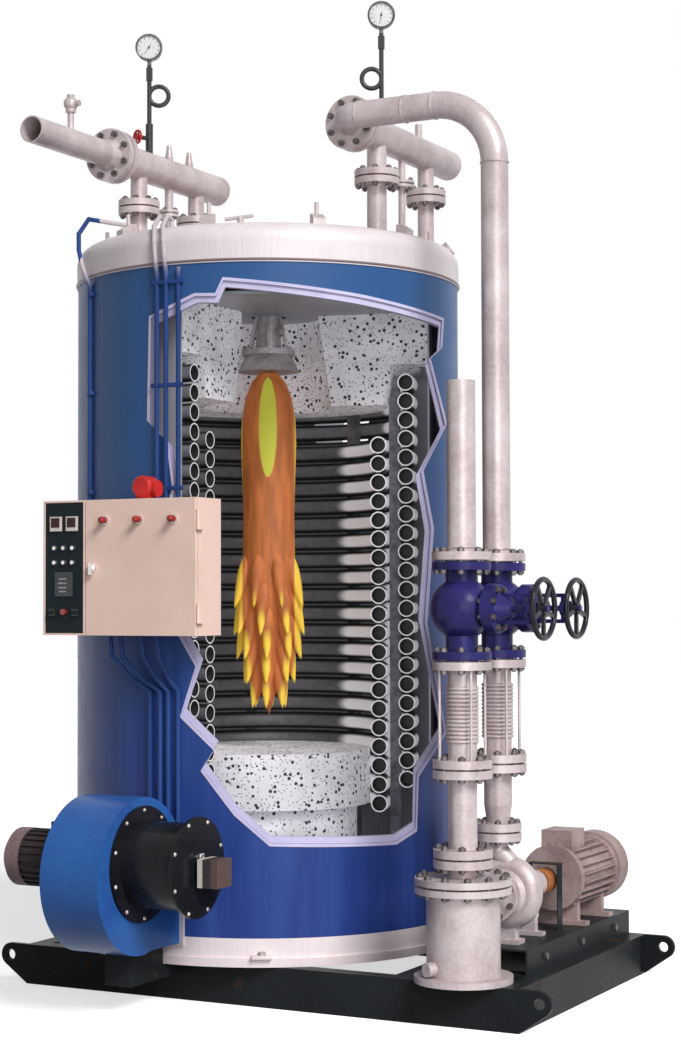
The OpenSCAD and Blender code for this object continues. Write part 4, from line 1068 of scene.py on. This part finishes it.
@dataclass
class Vessel(Assembly):
    """Casing, cap, drum and flue."""

    finishes: ClassVar[Mapping[str, Finish]] = {
        "casing_shell": Palette.casing,
        "casing_lining": Palette.lining,
        "base_drum": Palette.drum,
        "top_cap": Palette.cladding,
        "burner_cover": Palette.cladding,
        "lid_clamps": Palette.silver,
        "flue_spigot": Palette.jacket,
    }
    ring_radius: float = 0.872
    ring_top: float = 0.205
    window_corner: tuple[float, float] = (-0.455, 0.680)
    window_step: float = 0.005
    window_middle: tuple[int, int] = (121, 224)
    window_steps: tuple[tuple[int, int], ...] = (
        (61, 456), (171, 444), (242, 435), (240, 410), (229, 398), (243, 345), (220, 302),
        (228, 256), (222, 180), (241, 87), (217, 54), (216, 9), (199, 0), (98, 4), (70, 29), (44, 64),
        (55, 81), (28, 107), (42, 148), (18, 190), (30, 221), (14, 244), (23, 287), (17, 324), (0, 342),
        (0, 428), (38, 444), (55, 443),
    )
    edging: tuple[float, float] = (0.0275, 0.041)
    edging_lift: tuple[float, float] = (-0.001, 0.003)
    clip_azimuths: tuple[float, ...] = (27.7, 87.7, 147.7, 207.7, 267.7, 327.7)
    clip_size: Point = (0.085, 0.050, 0.014)
    flue_bolts: int = 12

    def dress(self) -> None:
        """Adds the window's edging, clips at the foot, roof fittings and flue bolts."""
        self.dress_edging()
        self.dress_foot()
        self.dress_roof()
        self.dress_flue()

    def window_loop(self, grow: float, lift: float, stride: float = 0.02) -> list[Vector]:
        """Finds points on the casing round the window.

        Args:
            grow: distance outside the window's outline.
            lift: distance off the casing.
            stride: longest step between points.

        Returns:
            The points of the closed loop, as many for any growth.
        """
        middle = Vector(self.window_middle) * self.window_step
        plain = [Vector(step) * self.window_step - middle for step in self.window_steps]
        loop = []
        for start, end in zip(plain, plain[1:] + plain[:1]):
            count = max(1, math.ceil((end - start).length / stride))
            first = start * (1.0 + grow / start.length)
            last = end * (1.0 + grow / end.length)
            for number in range(count):
                flat = first.lerp(last, number / count) + middle + Vector(self.window_corner)
                turn = VIEW_AZIMUTH + math.degrees(math.asin(flat.x / CASING_RADIUS))
                loop.append(around(turn, CASING_RADIUS + lift, flat.y))
        return loop

    @staticmethod
    def partner(corner: bmesh.types.BMVert, fresh: set[bmesh.types.BMVert]) -> bmesh.types.BMVert:
        """Finds the new corner that was drawn out of an old one."""
        ends = (edge.other_vert(corner) for edge in corner.link_edges)
        return next(end for end in ends if end in fresh)

    def dress_edging(self) -> None:
        """Adds the pale strip on the casing round the window."""
        inner, outer = self.edging
        sunk, raised = self.edging_lift
        shape = bmesh.new()
        corners = [shape.verts.new(spot) for spot in self.window_loop(inner, sunk)]
        first = [shape.edges.new(pair) for pair in zip(corners, corners[1:] + corners[:1])]
        edges = first
        for grow, lift in ((inner, raised), (outer, raised), (outer, sunk)):
            made = bmesh.ops.extrude_edge_only(shape, edges=edges)["geom"]
            edges = [item for item in made if isinstance(item, bmesh.types.BMEdge)]
            fresh = {item for item in made if isinstance(item, bmesh.types.BMVert)}
            corners = [self.partner(corner, fresh) for corner in corners]
            for corner, spot in zip(corners, self.window_loop(grow, lift)):
                corner.co = spot
        bmesh.ops.bridge_loops(shape, edges=first + edges)
        mesher = Mesher()
        mesher.take(shape, Matrix.Identity(4))
        mesher.piece("window_edging", Palette.lining)

    def dress_foot(self) -> None:
        """Adds the hold-down clips on the foot ring."""
        mesher = Mesher()
        bolts = Mesher()
        thick = self.clip_size[2]
        for azimuth in self.clip_azimuths:
            spot = around(azimuth, self.ring_radius - 0.002, self.ring_top + thick / 2.0)
            mesher.block(spot, self.clip_size, 0.003, azimuth)
            bolts.nut(around(azimuth, self.ring_radius, self.ring_top + thick), Axis.Z.value, 0.030, 0.014)
        mesher.piece("foot_clips", Palette.drum)
        bolts.piece("foot_clip_bolts", Palette.bolt)

    def dress_roof(self) -> None:
        """Adds the lever and the round fitting on the roof."""
        mesher = Mesher()
        foot = Vector((0.205, -0.600, 3.250))
        mesher.rod(foot, foot + Vector((0.0, 0.0, 0.040)), 0.014, 12)
        mesher.rod(foot + Vector((-0.060, -0.030, 0.030)), foot + Vector((0.050, 0.025, 0.046)), 0.008, 8)
        cap = around(108.0, 0.800, 3.215)
        mesher.rod(cap, cap + Vector((0.030, 0.010, 0.024)), 0.034, 16)
        mesher.piece("roof_fittings", Palette.silver)

    def dress_flue(self) -> None:
        """Adds bolts round the flue flange at the back."""
        low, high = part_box("flue_spigot")
        middle = Vector((0.0, high.y - 0.012, (low.z + high.z) / 2.0))
        circle = (high.z - low.z) / 2.0 - 0.020
        mesher = Mesher()
        for out in spokes(self.flue_bolts):
            mesher.nut(middle + out * circle, -Axis.Y.value, 0.024, 0.010)
        mesher.piece("flue_bolts", Palette.bolt)


@dataclass
class FireSide(Assembly):
    """What the window shows: jacket, coils, refractory, burner and flame."""

    finishes: ClassVar[Mapping[str, Finish]] = {
        "inner_jacket": Palette.jacket,
        "outer_coil": Palette.outer_coil,
        "inner_coil": Palette.inner_coil,
        "coil_supports": Palette.support,
        "chamber_floor": Palette.refractory,
        "burner_block": Palette.refractory,
        "inner_lid": Palette.jacket,
        "burner_head": Palette.burner,
        "display_flame": Palette.flame,
    }
    flame_radius: float = 0.125
    flame_profile: Pairs = (
        (0.0, 0.0), (0.34, 0.004), (0.62, 0.03), (0.84, 0.075), (0.97, 0.14), (1.0, 0.21),
        (0.96, 0.31), (0.92, 0.42), (0.94, 0.53), (0.96, 0.6), (0.88, 0.69), (0.68, 0.79),
        (0.42, 0.88), (0.18, 0.95), (0.0, 1.0),
    )
    tongue_rows: tuple[tuple[float, float, float, int], ...] = (
        (0.50, 0.072, 0.166, 8), (0.58, 0.072, 0.164, 8), (0.65, 0.068, 0.146, 8),
        (0.72, 0.056, 0.118, 7), (0.79, 0.036, 0.080, 6),
    )
    tongue_length: float = 0.19
    tongue_radius: float = 0.036
    tongue_profile: Pairs = (
        (0.0, 0.0), (0.35, 0.05), (0.62, 0.14), (0.88, 0.30), (0.92, 0.44), (0.78, 0.60),
        (0.50, 0.78), (0.2, 0.93), (0.0, 1.0),
    )

    def dress(self) -> None:
        """Shapes the flame in place of its plain solid."""
        low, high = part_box("display_flame")
        length = high.z - low.z
        top = Vector((0.0, 0.0, high.z))
        down = -Axis.Z.value
        mesher = Mesher()
        mesher.lathe([(r * self.flame_radius, h * length) for r, h in self.flame_profile], top, down, 48)
        for share, near, far, count in self.tongue_rows:
            for number in range(count):
                azimuth = VIEW_AZIMUTH + 90.0 + (number + share * 3.0) * 360.0 / count
                root = around(azimuth, near, high.z - share * length)
                tip = around(azimuth, far, high.z - (share + self.tongue_length) * length)
                size = (tip - root).length
                shape = [(r * self.tongue_radius, h * size) for r, h in self.tongue_profile]
                mesher.lathe(shape, root, (tip - root).normalized(), 12)
        flame = mesher.piece("flame_tongues", Palette.flame)
        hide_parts("display_flame")


@dataclass
class PipeWork(Assembly):
    """Headers, risers, pipes and both stacks."""

    finishes: ClassVar[Mapping[str, Finish]] = dict.fromkeys(
        (
            "outlet_header", "outlet_risers", "outlet_pipe", "thermowell", "inlet_header", "inlet_risers",
            "feed_pipe", "return_pipe", "feed_bellows", "return_bellows", "feed_spool", "return_spool",
            "filter_lid", "filter_pot", "pump_casing", "pump_bearing",
        ),
        Palette.silver,
    )
    outlet_x: float = -0.5
    inlet_x: float = 0.530
    stack_x: float = 1.257
    stack_y: tuple[float, float] = (-0.670, -0.320)
    stack_z: tuple[float, ...] = (1.817, 1.424, 1.000)
    feed_z: float = 3.738
    feed_welds: tuple[float, ...] = (0.63, 0.85, 0.987)
    pipe_radius: float = 0.0572
    bead: float = 0.005

    def header_joints(self) -> list[FlangeJoint]:
        """Lists the flange joints over the roof.

        Returns:
            The joints.
        """
        return [
            FlangeJoint(Axis.Y, (self.outlet_x, -0.520, 3.638), 0.072, 0.095),
            FlangeJoint(Axis.Y, (self.inlet_x, -0.184, self.feed_z), 0.072, 0.095),
            FlangeJoint(Axis.Z, (self.outlet_x, -0.307, 3.441), 0.064, 0.0745, 8, 0.014),
            FlangeJoint(Axis.Z, (self.outlet_x, 0.184, 3.441), 0.064, 0.0745, 8, 0.014),
            FlangeJoint(Axis.Z, (self.outlet_x, -0.054, 3.457), 0.032, 0.034, 4, 0.010),
            FlangeJoint(Axis.Z, (self.inlet_x, 0.045, 3.541), 0.064, 0.081, 8, 0.014),
            FlangeJoint(Axis.Z, (self.inlet_x, 0.300, 3.557), 0.032, 0.045, 4, 0.012),
            FlangeJoint(Axis.Z, (self.inlet_x, 0.555, 3.541), 0.064, 0.0745, 8, 0.014),
        ]

    def stack_joints(self) -> list[FlangeJoint]:
        """Lists the flange joints of both stacks and the filter pot.

        Returns:
            The joints.
        """
        x = self.stack_x
        near, far = self.stack_y
        joints = [FlangeJoint(Axis.Z, (x, y, z), 0.072, 0.097) for y in self.stack_y for z in self.stack_z]
        joints.append(FlangeJoint(Axis.Z, (x, near, 0.651), 0.072, 0.097))
        joints.append(FlangeJoint(Axis.Z, (x, far, 0.720), 0.072, 0.0775, 8, 0.014))
        joints.append(FlangeJoint(Axis.Z, (x, near, 0.546), 0.060, 0.170, 12))
        joints.append(FlangeJoint(Axis.Y, (PUMP_AXIS_X, -0.445, PUMP_AXIS_Z), 0.048, 0.082, 8, 0.014))
        return joints

    def dress(self) -> None:
        """Adds studs, nuts and weld beads."""
        groups = {"header_bolts": self.header_joints(), "stack_bolts": self.stack_joints()}
        for name, joints in groups.items():
            mesher = Mesher()
            for joint in joints:
                joint.dress(mesher)
            mesher.piece(name, Palette.dark_bolt)
        self.dress_welds()

    def dress_welds(self) -> None:
        """Adds the beads where pipes are welded."""
        far = self.stack_y[1]
        welds = [(Axis.Z, (self.stack_x, far, 3.468))]
        welds += [(Axis.X, (x, far, self.feed_z)) for x in self.feed_welds]
        welds += [(Axis.Z, (self.stack_x, y, 1.870)) for y in self.stack_y]
        mesher = Mesher()
        for axis, spot in welds:
            mesher.bead(Vector(spot), axis.value, self.pipe_radius, self.bead)
        mesher.piece("weld_beads", Palette.weld)


@dataclass
class Gauges(Assembly):
    """Pressure gauges on their siphons and the small valve's wheel."""

    finishes: ClassVar[Mapping[str, Finish]] = {
        "outlet_gauge": Palette.outlet_gauge,
        "inlet_gauge": Palette.inlet_gauge,
        "gauge_valve_wheel": Palette.red,
    }
    face: Point = (0.4648, -0.8854, 0.0)
    dials: tuple[tuple[str, Point, float], ...] = (
        ("outlet", (-0.5, -0.222, 4.1925), 215.0),
        ("inlet", (0.530, 0.095, 4.283), 190.0),
    )
    radius: float = 0.059
    front: float = 0.020
    marks: int = 11
    sweep: tuple[float, float] = (-135.0, 27.0)

    def dress(self) -> None:
        """Adds each gauge's dial, marks, pointer, bezel and glass."""
        for name, middle, turn in self.dials:
            self.dress_dial(name, Vector(middle) + Vector(self.face) * self.front, turn)

    def clockwise(self, degrees: float) -> Vector:
        """Finds a direction on the dial, clockwise from its top.

        Args:
            degrees: the turn.

        Returns:
            A direction of length 1.
        """
        right = Axis.Z.value.cross(Vector(self.face)).normalized()
        turn = math.radians(degrees)
        return right * math.sin(turn) + Axis.Z.value * math.cos(turn)

    def turned(self, name: str, face: Vector, profile: Pairs, finish: Finish) -> None:
        """Adds one round piece of a gauge.

        Args:
            name: the piece's name.
            face: middle of the gauge's front.
            profile: radius and height of each corner.
            finish: its finish.
        """
        mesher = Mesher()
        mesher.lathe(profile, face, Vector(self.face), 32)
        mesher.piece(name, finish)

    def dress_dial(self, name: str, face: Vector, turn: float) -> None:
        """Adds one dial.

        Args:
            name: the gauge's name.
            face: middle of its front.
            turn: the pointer's turn in degrees, clockwise from the top.
        """
        axis = Vector(self.face)
        r = self.radius
        edge = r - 0.006
        self.turned(f"{name}_dial", face, [(0.0, 0.0015), (edge, 0.0015), (edge, 0.0)], Palette.dial)
        lip = r + 0.003
        bezel = [(r - 0.007, 0.0), (edge, 0.008), (r - 0.002, 0.010), (lip, 0.007), (lip, -0.004)]
        self.turned(f"{name}_bezel", face, bezel, Palette.dark_bolt)
        ink = Mesher()
        first, step = self.sweep
        for number in range(self.marks):
            out = self.clockwise(first + step * number)
            start = face + axis * 0.0018 + out * (r - 0.020)
            ink.rod(start, start + out * 0.010, 0.0012, 4)
        out = self.clockwise(turn)
        hub = face + axis * 0.003
        ink.rod(hub - out * 0.012, hub + out * (r - 0.016), 0.0020, 4, 0.0006)
        ink.rod(face, face + axis * 0.005, 0.005, 12)
        ink.piece(f"{name}_pointer", Palette.ink)
        rim = r - 0.0065
        pane = [(0.0, 0.0085), (rim, 0.0085), (rim, 0.0070), (0.0, 0.0070)]
        self.turned(f"{name}_glass", face, pane, Palette.glass)


@dataclass
class Valves(Assembly):
    """Stop valves and their handwheels."""

    finishes: ClassVar[Mapping[str, Finish]] = {
        "feed_valve": Palette.valve,
        "return_valve": Palette.valve,
        "feed_handwheel": Palette.wheel,
        "return_handwheel": Palette.wheel,
    }
    stem_z: float = 1.62836
    stacks: tuple[tuple[str, float, Body], ...] = (
        ("feed", -0.320, Body.FEED_WHEEL),
        ("return", -0.670, Body.RETURN_WHEEL),
    )
    bonnet: tuple[float, float] = (1.375, 1.419)
    bonnet_circle: float = 0.080

    def dress(self) -> None:
        """Adds bonnet studs and the nut in the middle of each wheel."""
        start, end = self.bonnet
        bolts = Mesher()
        for name, y, wheel in self.stacks:
            place = ((start + end) / 2.0, y, self.stem_z)
            FlangeJoint(Axis.X, place, end - start, self.bonnet_circle, 8, 0.014).dress(bolts)
            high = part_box(f"{name}_handwheel")[1]
            nut = Mesher()
            spot = Vector((high.x - 0.006, y, self.stem_z))
            nut.nut(spot, Axis.X.value, 0.026, 0.005)
            nut.piece(f"{name}_wheel_nut", Palette.bolt, wheel)
        bolts.piece("bonnet_bolts", Palette.dark_bolt)


@dataclass
class PumpSet(Assembly):
    """Pump, coupling and motor."""

    finishes: ClassVar[Mapping[str, Finish]] = {
        "pump_coupling": Palette.coupling,
        "pump_motor": Palette.pump_motor,
    }
    bearing_y: float = -0.262
    bearing_circle: float = 0.097
    grille_rings: tuple[float, ...] = (0.035, 0.060, 0.085, 0.110)
    grille_wire: float = 0.003

    def dress(self) -> None:
        """Adds the bearing flange's bolts and the motor's cowl grille."""
        bolts = Mesher()
        middle = Vector((PUMP_AXIS_X, self.bearing_y, PUMP_AXIS_Z))
        for out in spokes(8, 0.5):
            bolts.nut(middle + out * self.bearing_circle, Axis.Y.value, 0.022, 0.010)
        bolts.piece("bearing_bolts", Palette.dark_bolt)
        grille = Mesher()
        back = Vector((PUMP_AXIS_X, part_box("pump_motor")[1].y - 0.002, PUMP_AXIS_Z))
        for radius in self.grille_rings:
            grille.bead(back, Axis.Y.value, radius, self.grille_wire, 32)
        for out in spokes(8):
            grille.rod(back + out * 0.012, back + out * 0.118, self.grille_wire, 6)
        grille.piece("pump_cowl_grille", Palette.dark_bolt)


@dataclass
class Blower(Assembly):
    """Scroll, intake, damper drive and fan motor."""

    finishes: ClassVar[Mapping[str, Finish]] = {
        "blower_scroll": Palette.scroll,
        "blower_motor": Palette.blower_motor,
        "intake_tube": Palette.intake,
        "damper_actuator": Palette.actuator,
    }
    axis_y: float = -1.188
    axis_z: float = 0.620
    flange_x: float = 0.107
    end_x: float = 0.357
    flange_circle: float = 0.213
    end_circle: float = 0.184

    def ring(self, mesher: Mesher, x: float, circle: float, count: int, offset: float) -> None:
        """Adds a ring of round-headed bolts on a flange.

        Args:
            mesher: where they go.
            x: the flange's face.
            circle: radius of the ring.
            count: how many.
            offset: turn of the first, in shares of a step.
        """
        head = [(0.0, 0.007), (0.005, 0.006), (0.008, 0.003), (0.009, 0.0)]
        for number in range(count):
            turn = FULL_TURN * (number + offset) / count
            spot = Vector((x, self.axis_y + circle * math.sin(turn), self.axis_z + circle * math.cos(turn)))
            mesher.lathe(head, spot, Axis.X.value, 10)

    def dress(self) -> None:
        """Adds the bolts of both intake flanges and the damper's lever on the end cover."""
        mesher = Mesher()
        self.ring(mesher, self.flange_x, self.flange_circle, 10, 0.0)
        self.ring(mesher, self.end_x, self.end_circle, 8, 0.5)
        mesher.piece("intake_bolts", Palette.bolt)
        lever = Mesher()
        spot = Vector((self.end_x - 0.001, self.axis_y - 0.006, self.axis_z + 0.043))
        lever.rod(spot, spot + Axis.X.value * 0.026, 0.010, 12)
        lever.block(spot + Vector((0.016, 0.006, 0.004)), (0.010, 0.034, 0.020), 0.002)
        lever.piece("damper_lever", Palette.chrome)


@dataclass
class Cabinet(Assembly):
    """Control cabinet with panel, door, lamps and horn."""

    finishes: ClassVar[Mapping[str, Finish]] = {
        "cabinet_body": Palette.cabinet,
        "cabinet_door": Palette.cabinet,
        "door_lock": Palette.chrome,
        "instrument_panel": Palette.panel,
        "panel_controls": Palette.controls,
        "alarm_horn": Palette.red,
    }
    lamp_x: tuple[float, ...] = (-0.151, 0.0145, 0.180)
    lamp_z: float = 1.993
    meters: tuple[float, ...] = (-0.040, 0.040)
    knob_columns: tuple[float, ...] = (-0.045, 0.0, 0.045)
    knob_rows: tuple[float, ...] = (0.300, 0.360)
    switches: tuple[float, ...] = (-0.058, 0.058)
    bars: Pairs = ((0.232, 0.036), (0.214, 0.044), (0.196, 0.040), (0.180, 0.034))

    def dress(self) -> None:
        """Adds door lamps and the panel's small pieces."""
        self.dress_lamps()
        self.dress_panel()

    def dress_lamps(self) -> None:
        """Adds the lamps that stand out from the door."""
        front = min(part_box(name)[0].y for name in ("cabinet_body", "cabinet_door"))
        lamps = Mesher()
        collars = Mesher()
        lens = [(0.0, 0.046), (0.008, 0.044), (0.013, 0.038), (0.0145, 0.030), (0.0145, 0.006)]
        collar = [(0.0145, 0.009), (0.018, 0.008), (0.018, -0.001)]
        for x in self.lamp_x:
            spot = Vector((x, front, self.lamp_z))
            lamps.lathe(lens, spot, -Axis.Y.value, 20)
            collars.lathe(collar, spot, -Axis.Y.value, 20)
        lamps.piece("door_lamps", Palette.lamp, Body.DOOR)
        collars.piece("door_lamp_collars", Palette.trim, Body.DOOR)

    def dress_panel(self) -> None:
        """Adds the panel's meter faces, knobs, switch levers and display bars."""
        controls = Palette.controls
        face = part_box("panel_controls")[0].y + 0.014
        origin = Vector((controls.middle_x, face, controls.base_z))
        meters = Mesher()
        for off in self.meters:
            meters.block(origin + Vector((off, -0.0105, 0.465)), (0.042, 0.002, 0.040), 0.0005)
        meters.piece("meter_faces", Palette.meter)
        knobs = Mesher()
        head = [(0.0, 0.008), (0.005, 0.0075), (0.008, 0.005), (0.009, 0.0)]
        for off in self.knob_columns:
            for up in self.knob_rows:
                knobs.lathe(head, origin + Vector((off, -0.010, up)), -Axis.Y.value, 12)
        knobs.piece("panel_knobs", Palette.chrome)
        levers = Mesher()
        lever = [(0.0, 0.008), (0.009, 0.008), (0.010, 0.0)]
        for off in self.switches:
            levers.lathe(lever, origin + Vector((off, -0.012, 0.094)), -Axis.Y.value, 12)
        levers.piece("switch_levers", Palette.panel)
        bars = Mesher()
        for row, width in self.bars:
            bars.block(origin + Vector((-0.006, -0.0065, row)), (width, 0.001, 0.006))
        bars.piece("display_bars", Palette.marks)


@dataclass
class Conduits(Assembly):
    """Cable conduits on the casing."""

    finishes: ClassVar[Mapping[str, Finish]] = {"conduits": Palette.conduit}
    straps: Pairs = ((-33.4, 0.050), (0.5, 0.150))
    heights: tuple[float, ...] = (2.990, 2.560, 2.130)

    def dress(self) -> None:
        """Adds the straps that hold the conduits to the casing."""
        mesher = Mesher()
        for azimuth, width in self.straps:
            for height in self.heights:
                spot = around(azimuth, CASING_RADIUS + 0.009, height)
                mesher.block(spot, (width, 0.020, 0.018), 0.003, azimuth)
        mesher.piece("conduit_straps", Palette.conduit)


@dataclass
class Studio:
    """Floor, light and camera."""

    place: Point = (4.5972, -8.0709, 1.6684)
    heading: float = 27.664
    tilt: float = 2.19
    roll: float = 0.16
    lens: float = 70.95
    ambient: float = 0.13
    aim: Point = (0.2, -0.2, 1.8)

    def clear(self) -> None:
        """Removes what a fresh file starts with."""
        for stray in list(bpy.data.objects):
            bpy.data.objects.remove(stray)

    def build(self) -> None:
        """Sets up floor, world, lights and camera."""
        self.build_floor()
        self.build_world()
        self.build_lights()
        self.build_camera()
        bpy.context.scene.view_settings.view_transform = "Standard"

    def build_floor(self) -> None:
        """Adds a pale floor that keeps a soft shadow."""
        shape = bmesh.new()
        bmesh.ops.create_grid(shape, x_segments=1, y_segments=1, size=40.0)
        mesh = bpy.data.meshes.new("floor")
        shape.to_mesh(mesh)
        shape.free()
        tree = ShaderTree(bpy.data.materials.new("finish_floor"))
        spot = tree.spot()
        tone = tree.noise(spot, 3.0, 4.0)
        colour = tree.ramp(tone, (0.3, (0.88, 0.88, 0.88)), (0.7, (0.90, 0.90, 0.90)))
        seen = tree.node(
            "ShaderNodeBsdfPrincipled",
            {
                "Base Color": colour,
                "Roughness": 0.9,
                "Specular IOR Level": 0.0,
                "Emission Color": (1.0, 1.0, 1.0),
                "Emission Strength": 0.62,
            },
        )
        felt = tree.node("ShaderNodeBsdfDiffuse", {"Color": (0.22, 0.22, 0.23)})
        tree.backdrop(felt, seen)
        mesh.materials.append(tree.owner)
        floor = bpy.data.objects.new("floor", mesh)
        bpy.context.scene.collection.objects.link(floor)

    def build_world(self) -> None:
        """Makes the backdrop white to camera, gloss and glass, and dim as a light."""
        world = bpy.data.worlds.new("studio")
        tree = ShaderTree(world)
        shown = tree.node("ShaderNodeBackground", {"Color": (1.0, 1.0, 1.0)})
        felt = tree.node("ShaderNodeBackground", {"Color": (0.93, 0.95, 1.0), "Strength": self.ambient})
        tree.backdrop(felt, shown)
        bpy.context.scene.world = world

    def lamp(self, name: str, kind: LampKind, spot: Vector, energy: float, size: float) -> None:
        """Adds a light.

        Args:
            name: its name.
            kind: a sun or an area.
            spot: where it stands.
            energy: its strength.
            size: a sun's angle in radians or an area's side in metres.
        """
        light = bpy.data.lights.new(name, kind.value)
        light.energy = energy
        if kind is LampKind.SUN:
            light.angle = size
        else:
            light.size = size
        made = bpy.data.objects.new(name, light)
        turn = (Vector(self.aim) - spot).to_track_quat("-Z", "Y").to_matrix().to_4x4()
        made.matrix_world = Matrix.Translation(spot) @ turn
        bpy.context.scene.collection.objects.link(made)

    def build_lights(self) -> None:
        """Adds the key from the upper right and a wide soft front light."""
        self.lamp("key", LampKind.SUN, around(60.0, 9.0, 8.6), 2.75, 0.4)
        self.lamp("front", LampKind.AREA, around(42.0, 8.0, 2.6), 185.0, 4.0)

    def build_camera(self) -> None:
        """Adds the camera at the photo's angle."""
        turn = math.radians(self.heading)
        lift = math.radians(self.tilt)
        lean = math.radians(self.roll)
        level = math.cos(lift)
        forward = Vector((-math.sin(turn) * level, math.cos(turn) * level, math.sin(lift)))
        right = Vector((math.cos(turn), math.sin(turn), 0.0))
        up = right.cross(forward)
        side = right * math.cos(lean) - up * math.sin(lean)
        top = right * math.sin(lean) + up * math.cos(lean)
        camera = bpy.data.cameras.new("camera")
        camera.lens = self.lens
        camera.sensor_width = 36.0
        camera.sensor_fit = "AUTO"
        made = bpy.data.objects.new("camera", camera)
        matrix = Matrix((side, top, -forward)).transposed().to_4x4()
        made.matrix_world = Matrix.Translation(self.place) @ matrix
        bpy.context.scene.collection.objects.link(made)
        bpy.context.scene.camera = made


def main() -> None:
    """Loads the part, dresses it and sets up the studio."""
    logging.basicConfig(level=logging.INFO, format="%(name)s %(message)s")
    studio = Studio()
    studio.clear()
    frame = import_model()
    nodes = frame["nodes"]
    assemblies = (Skid, Vessel, FireSide, PipeWork, Gauges, Valves, PumpSet, Blower, Cabinet, Conduits)
    for kind in assemblies:
        kind(nodes).build()
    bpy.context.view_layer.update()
    studio.build()


if __name__ == "__main__":
    main()
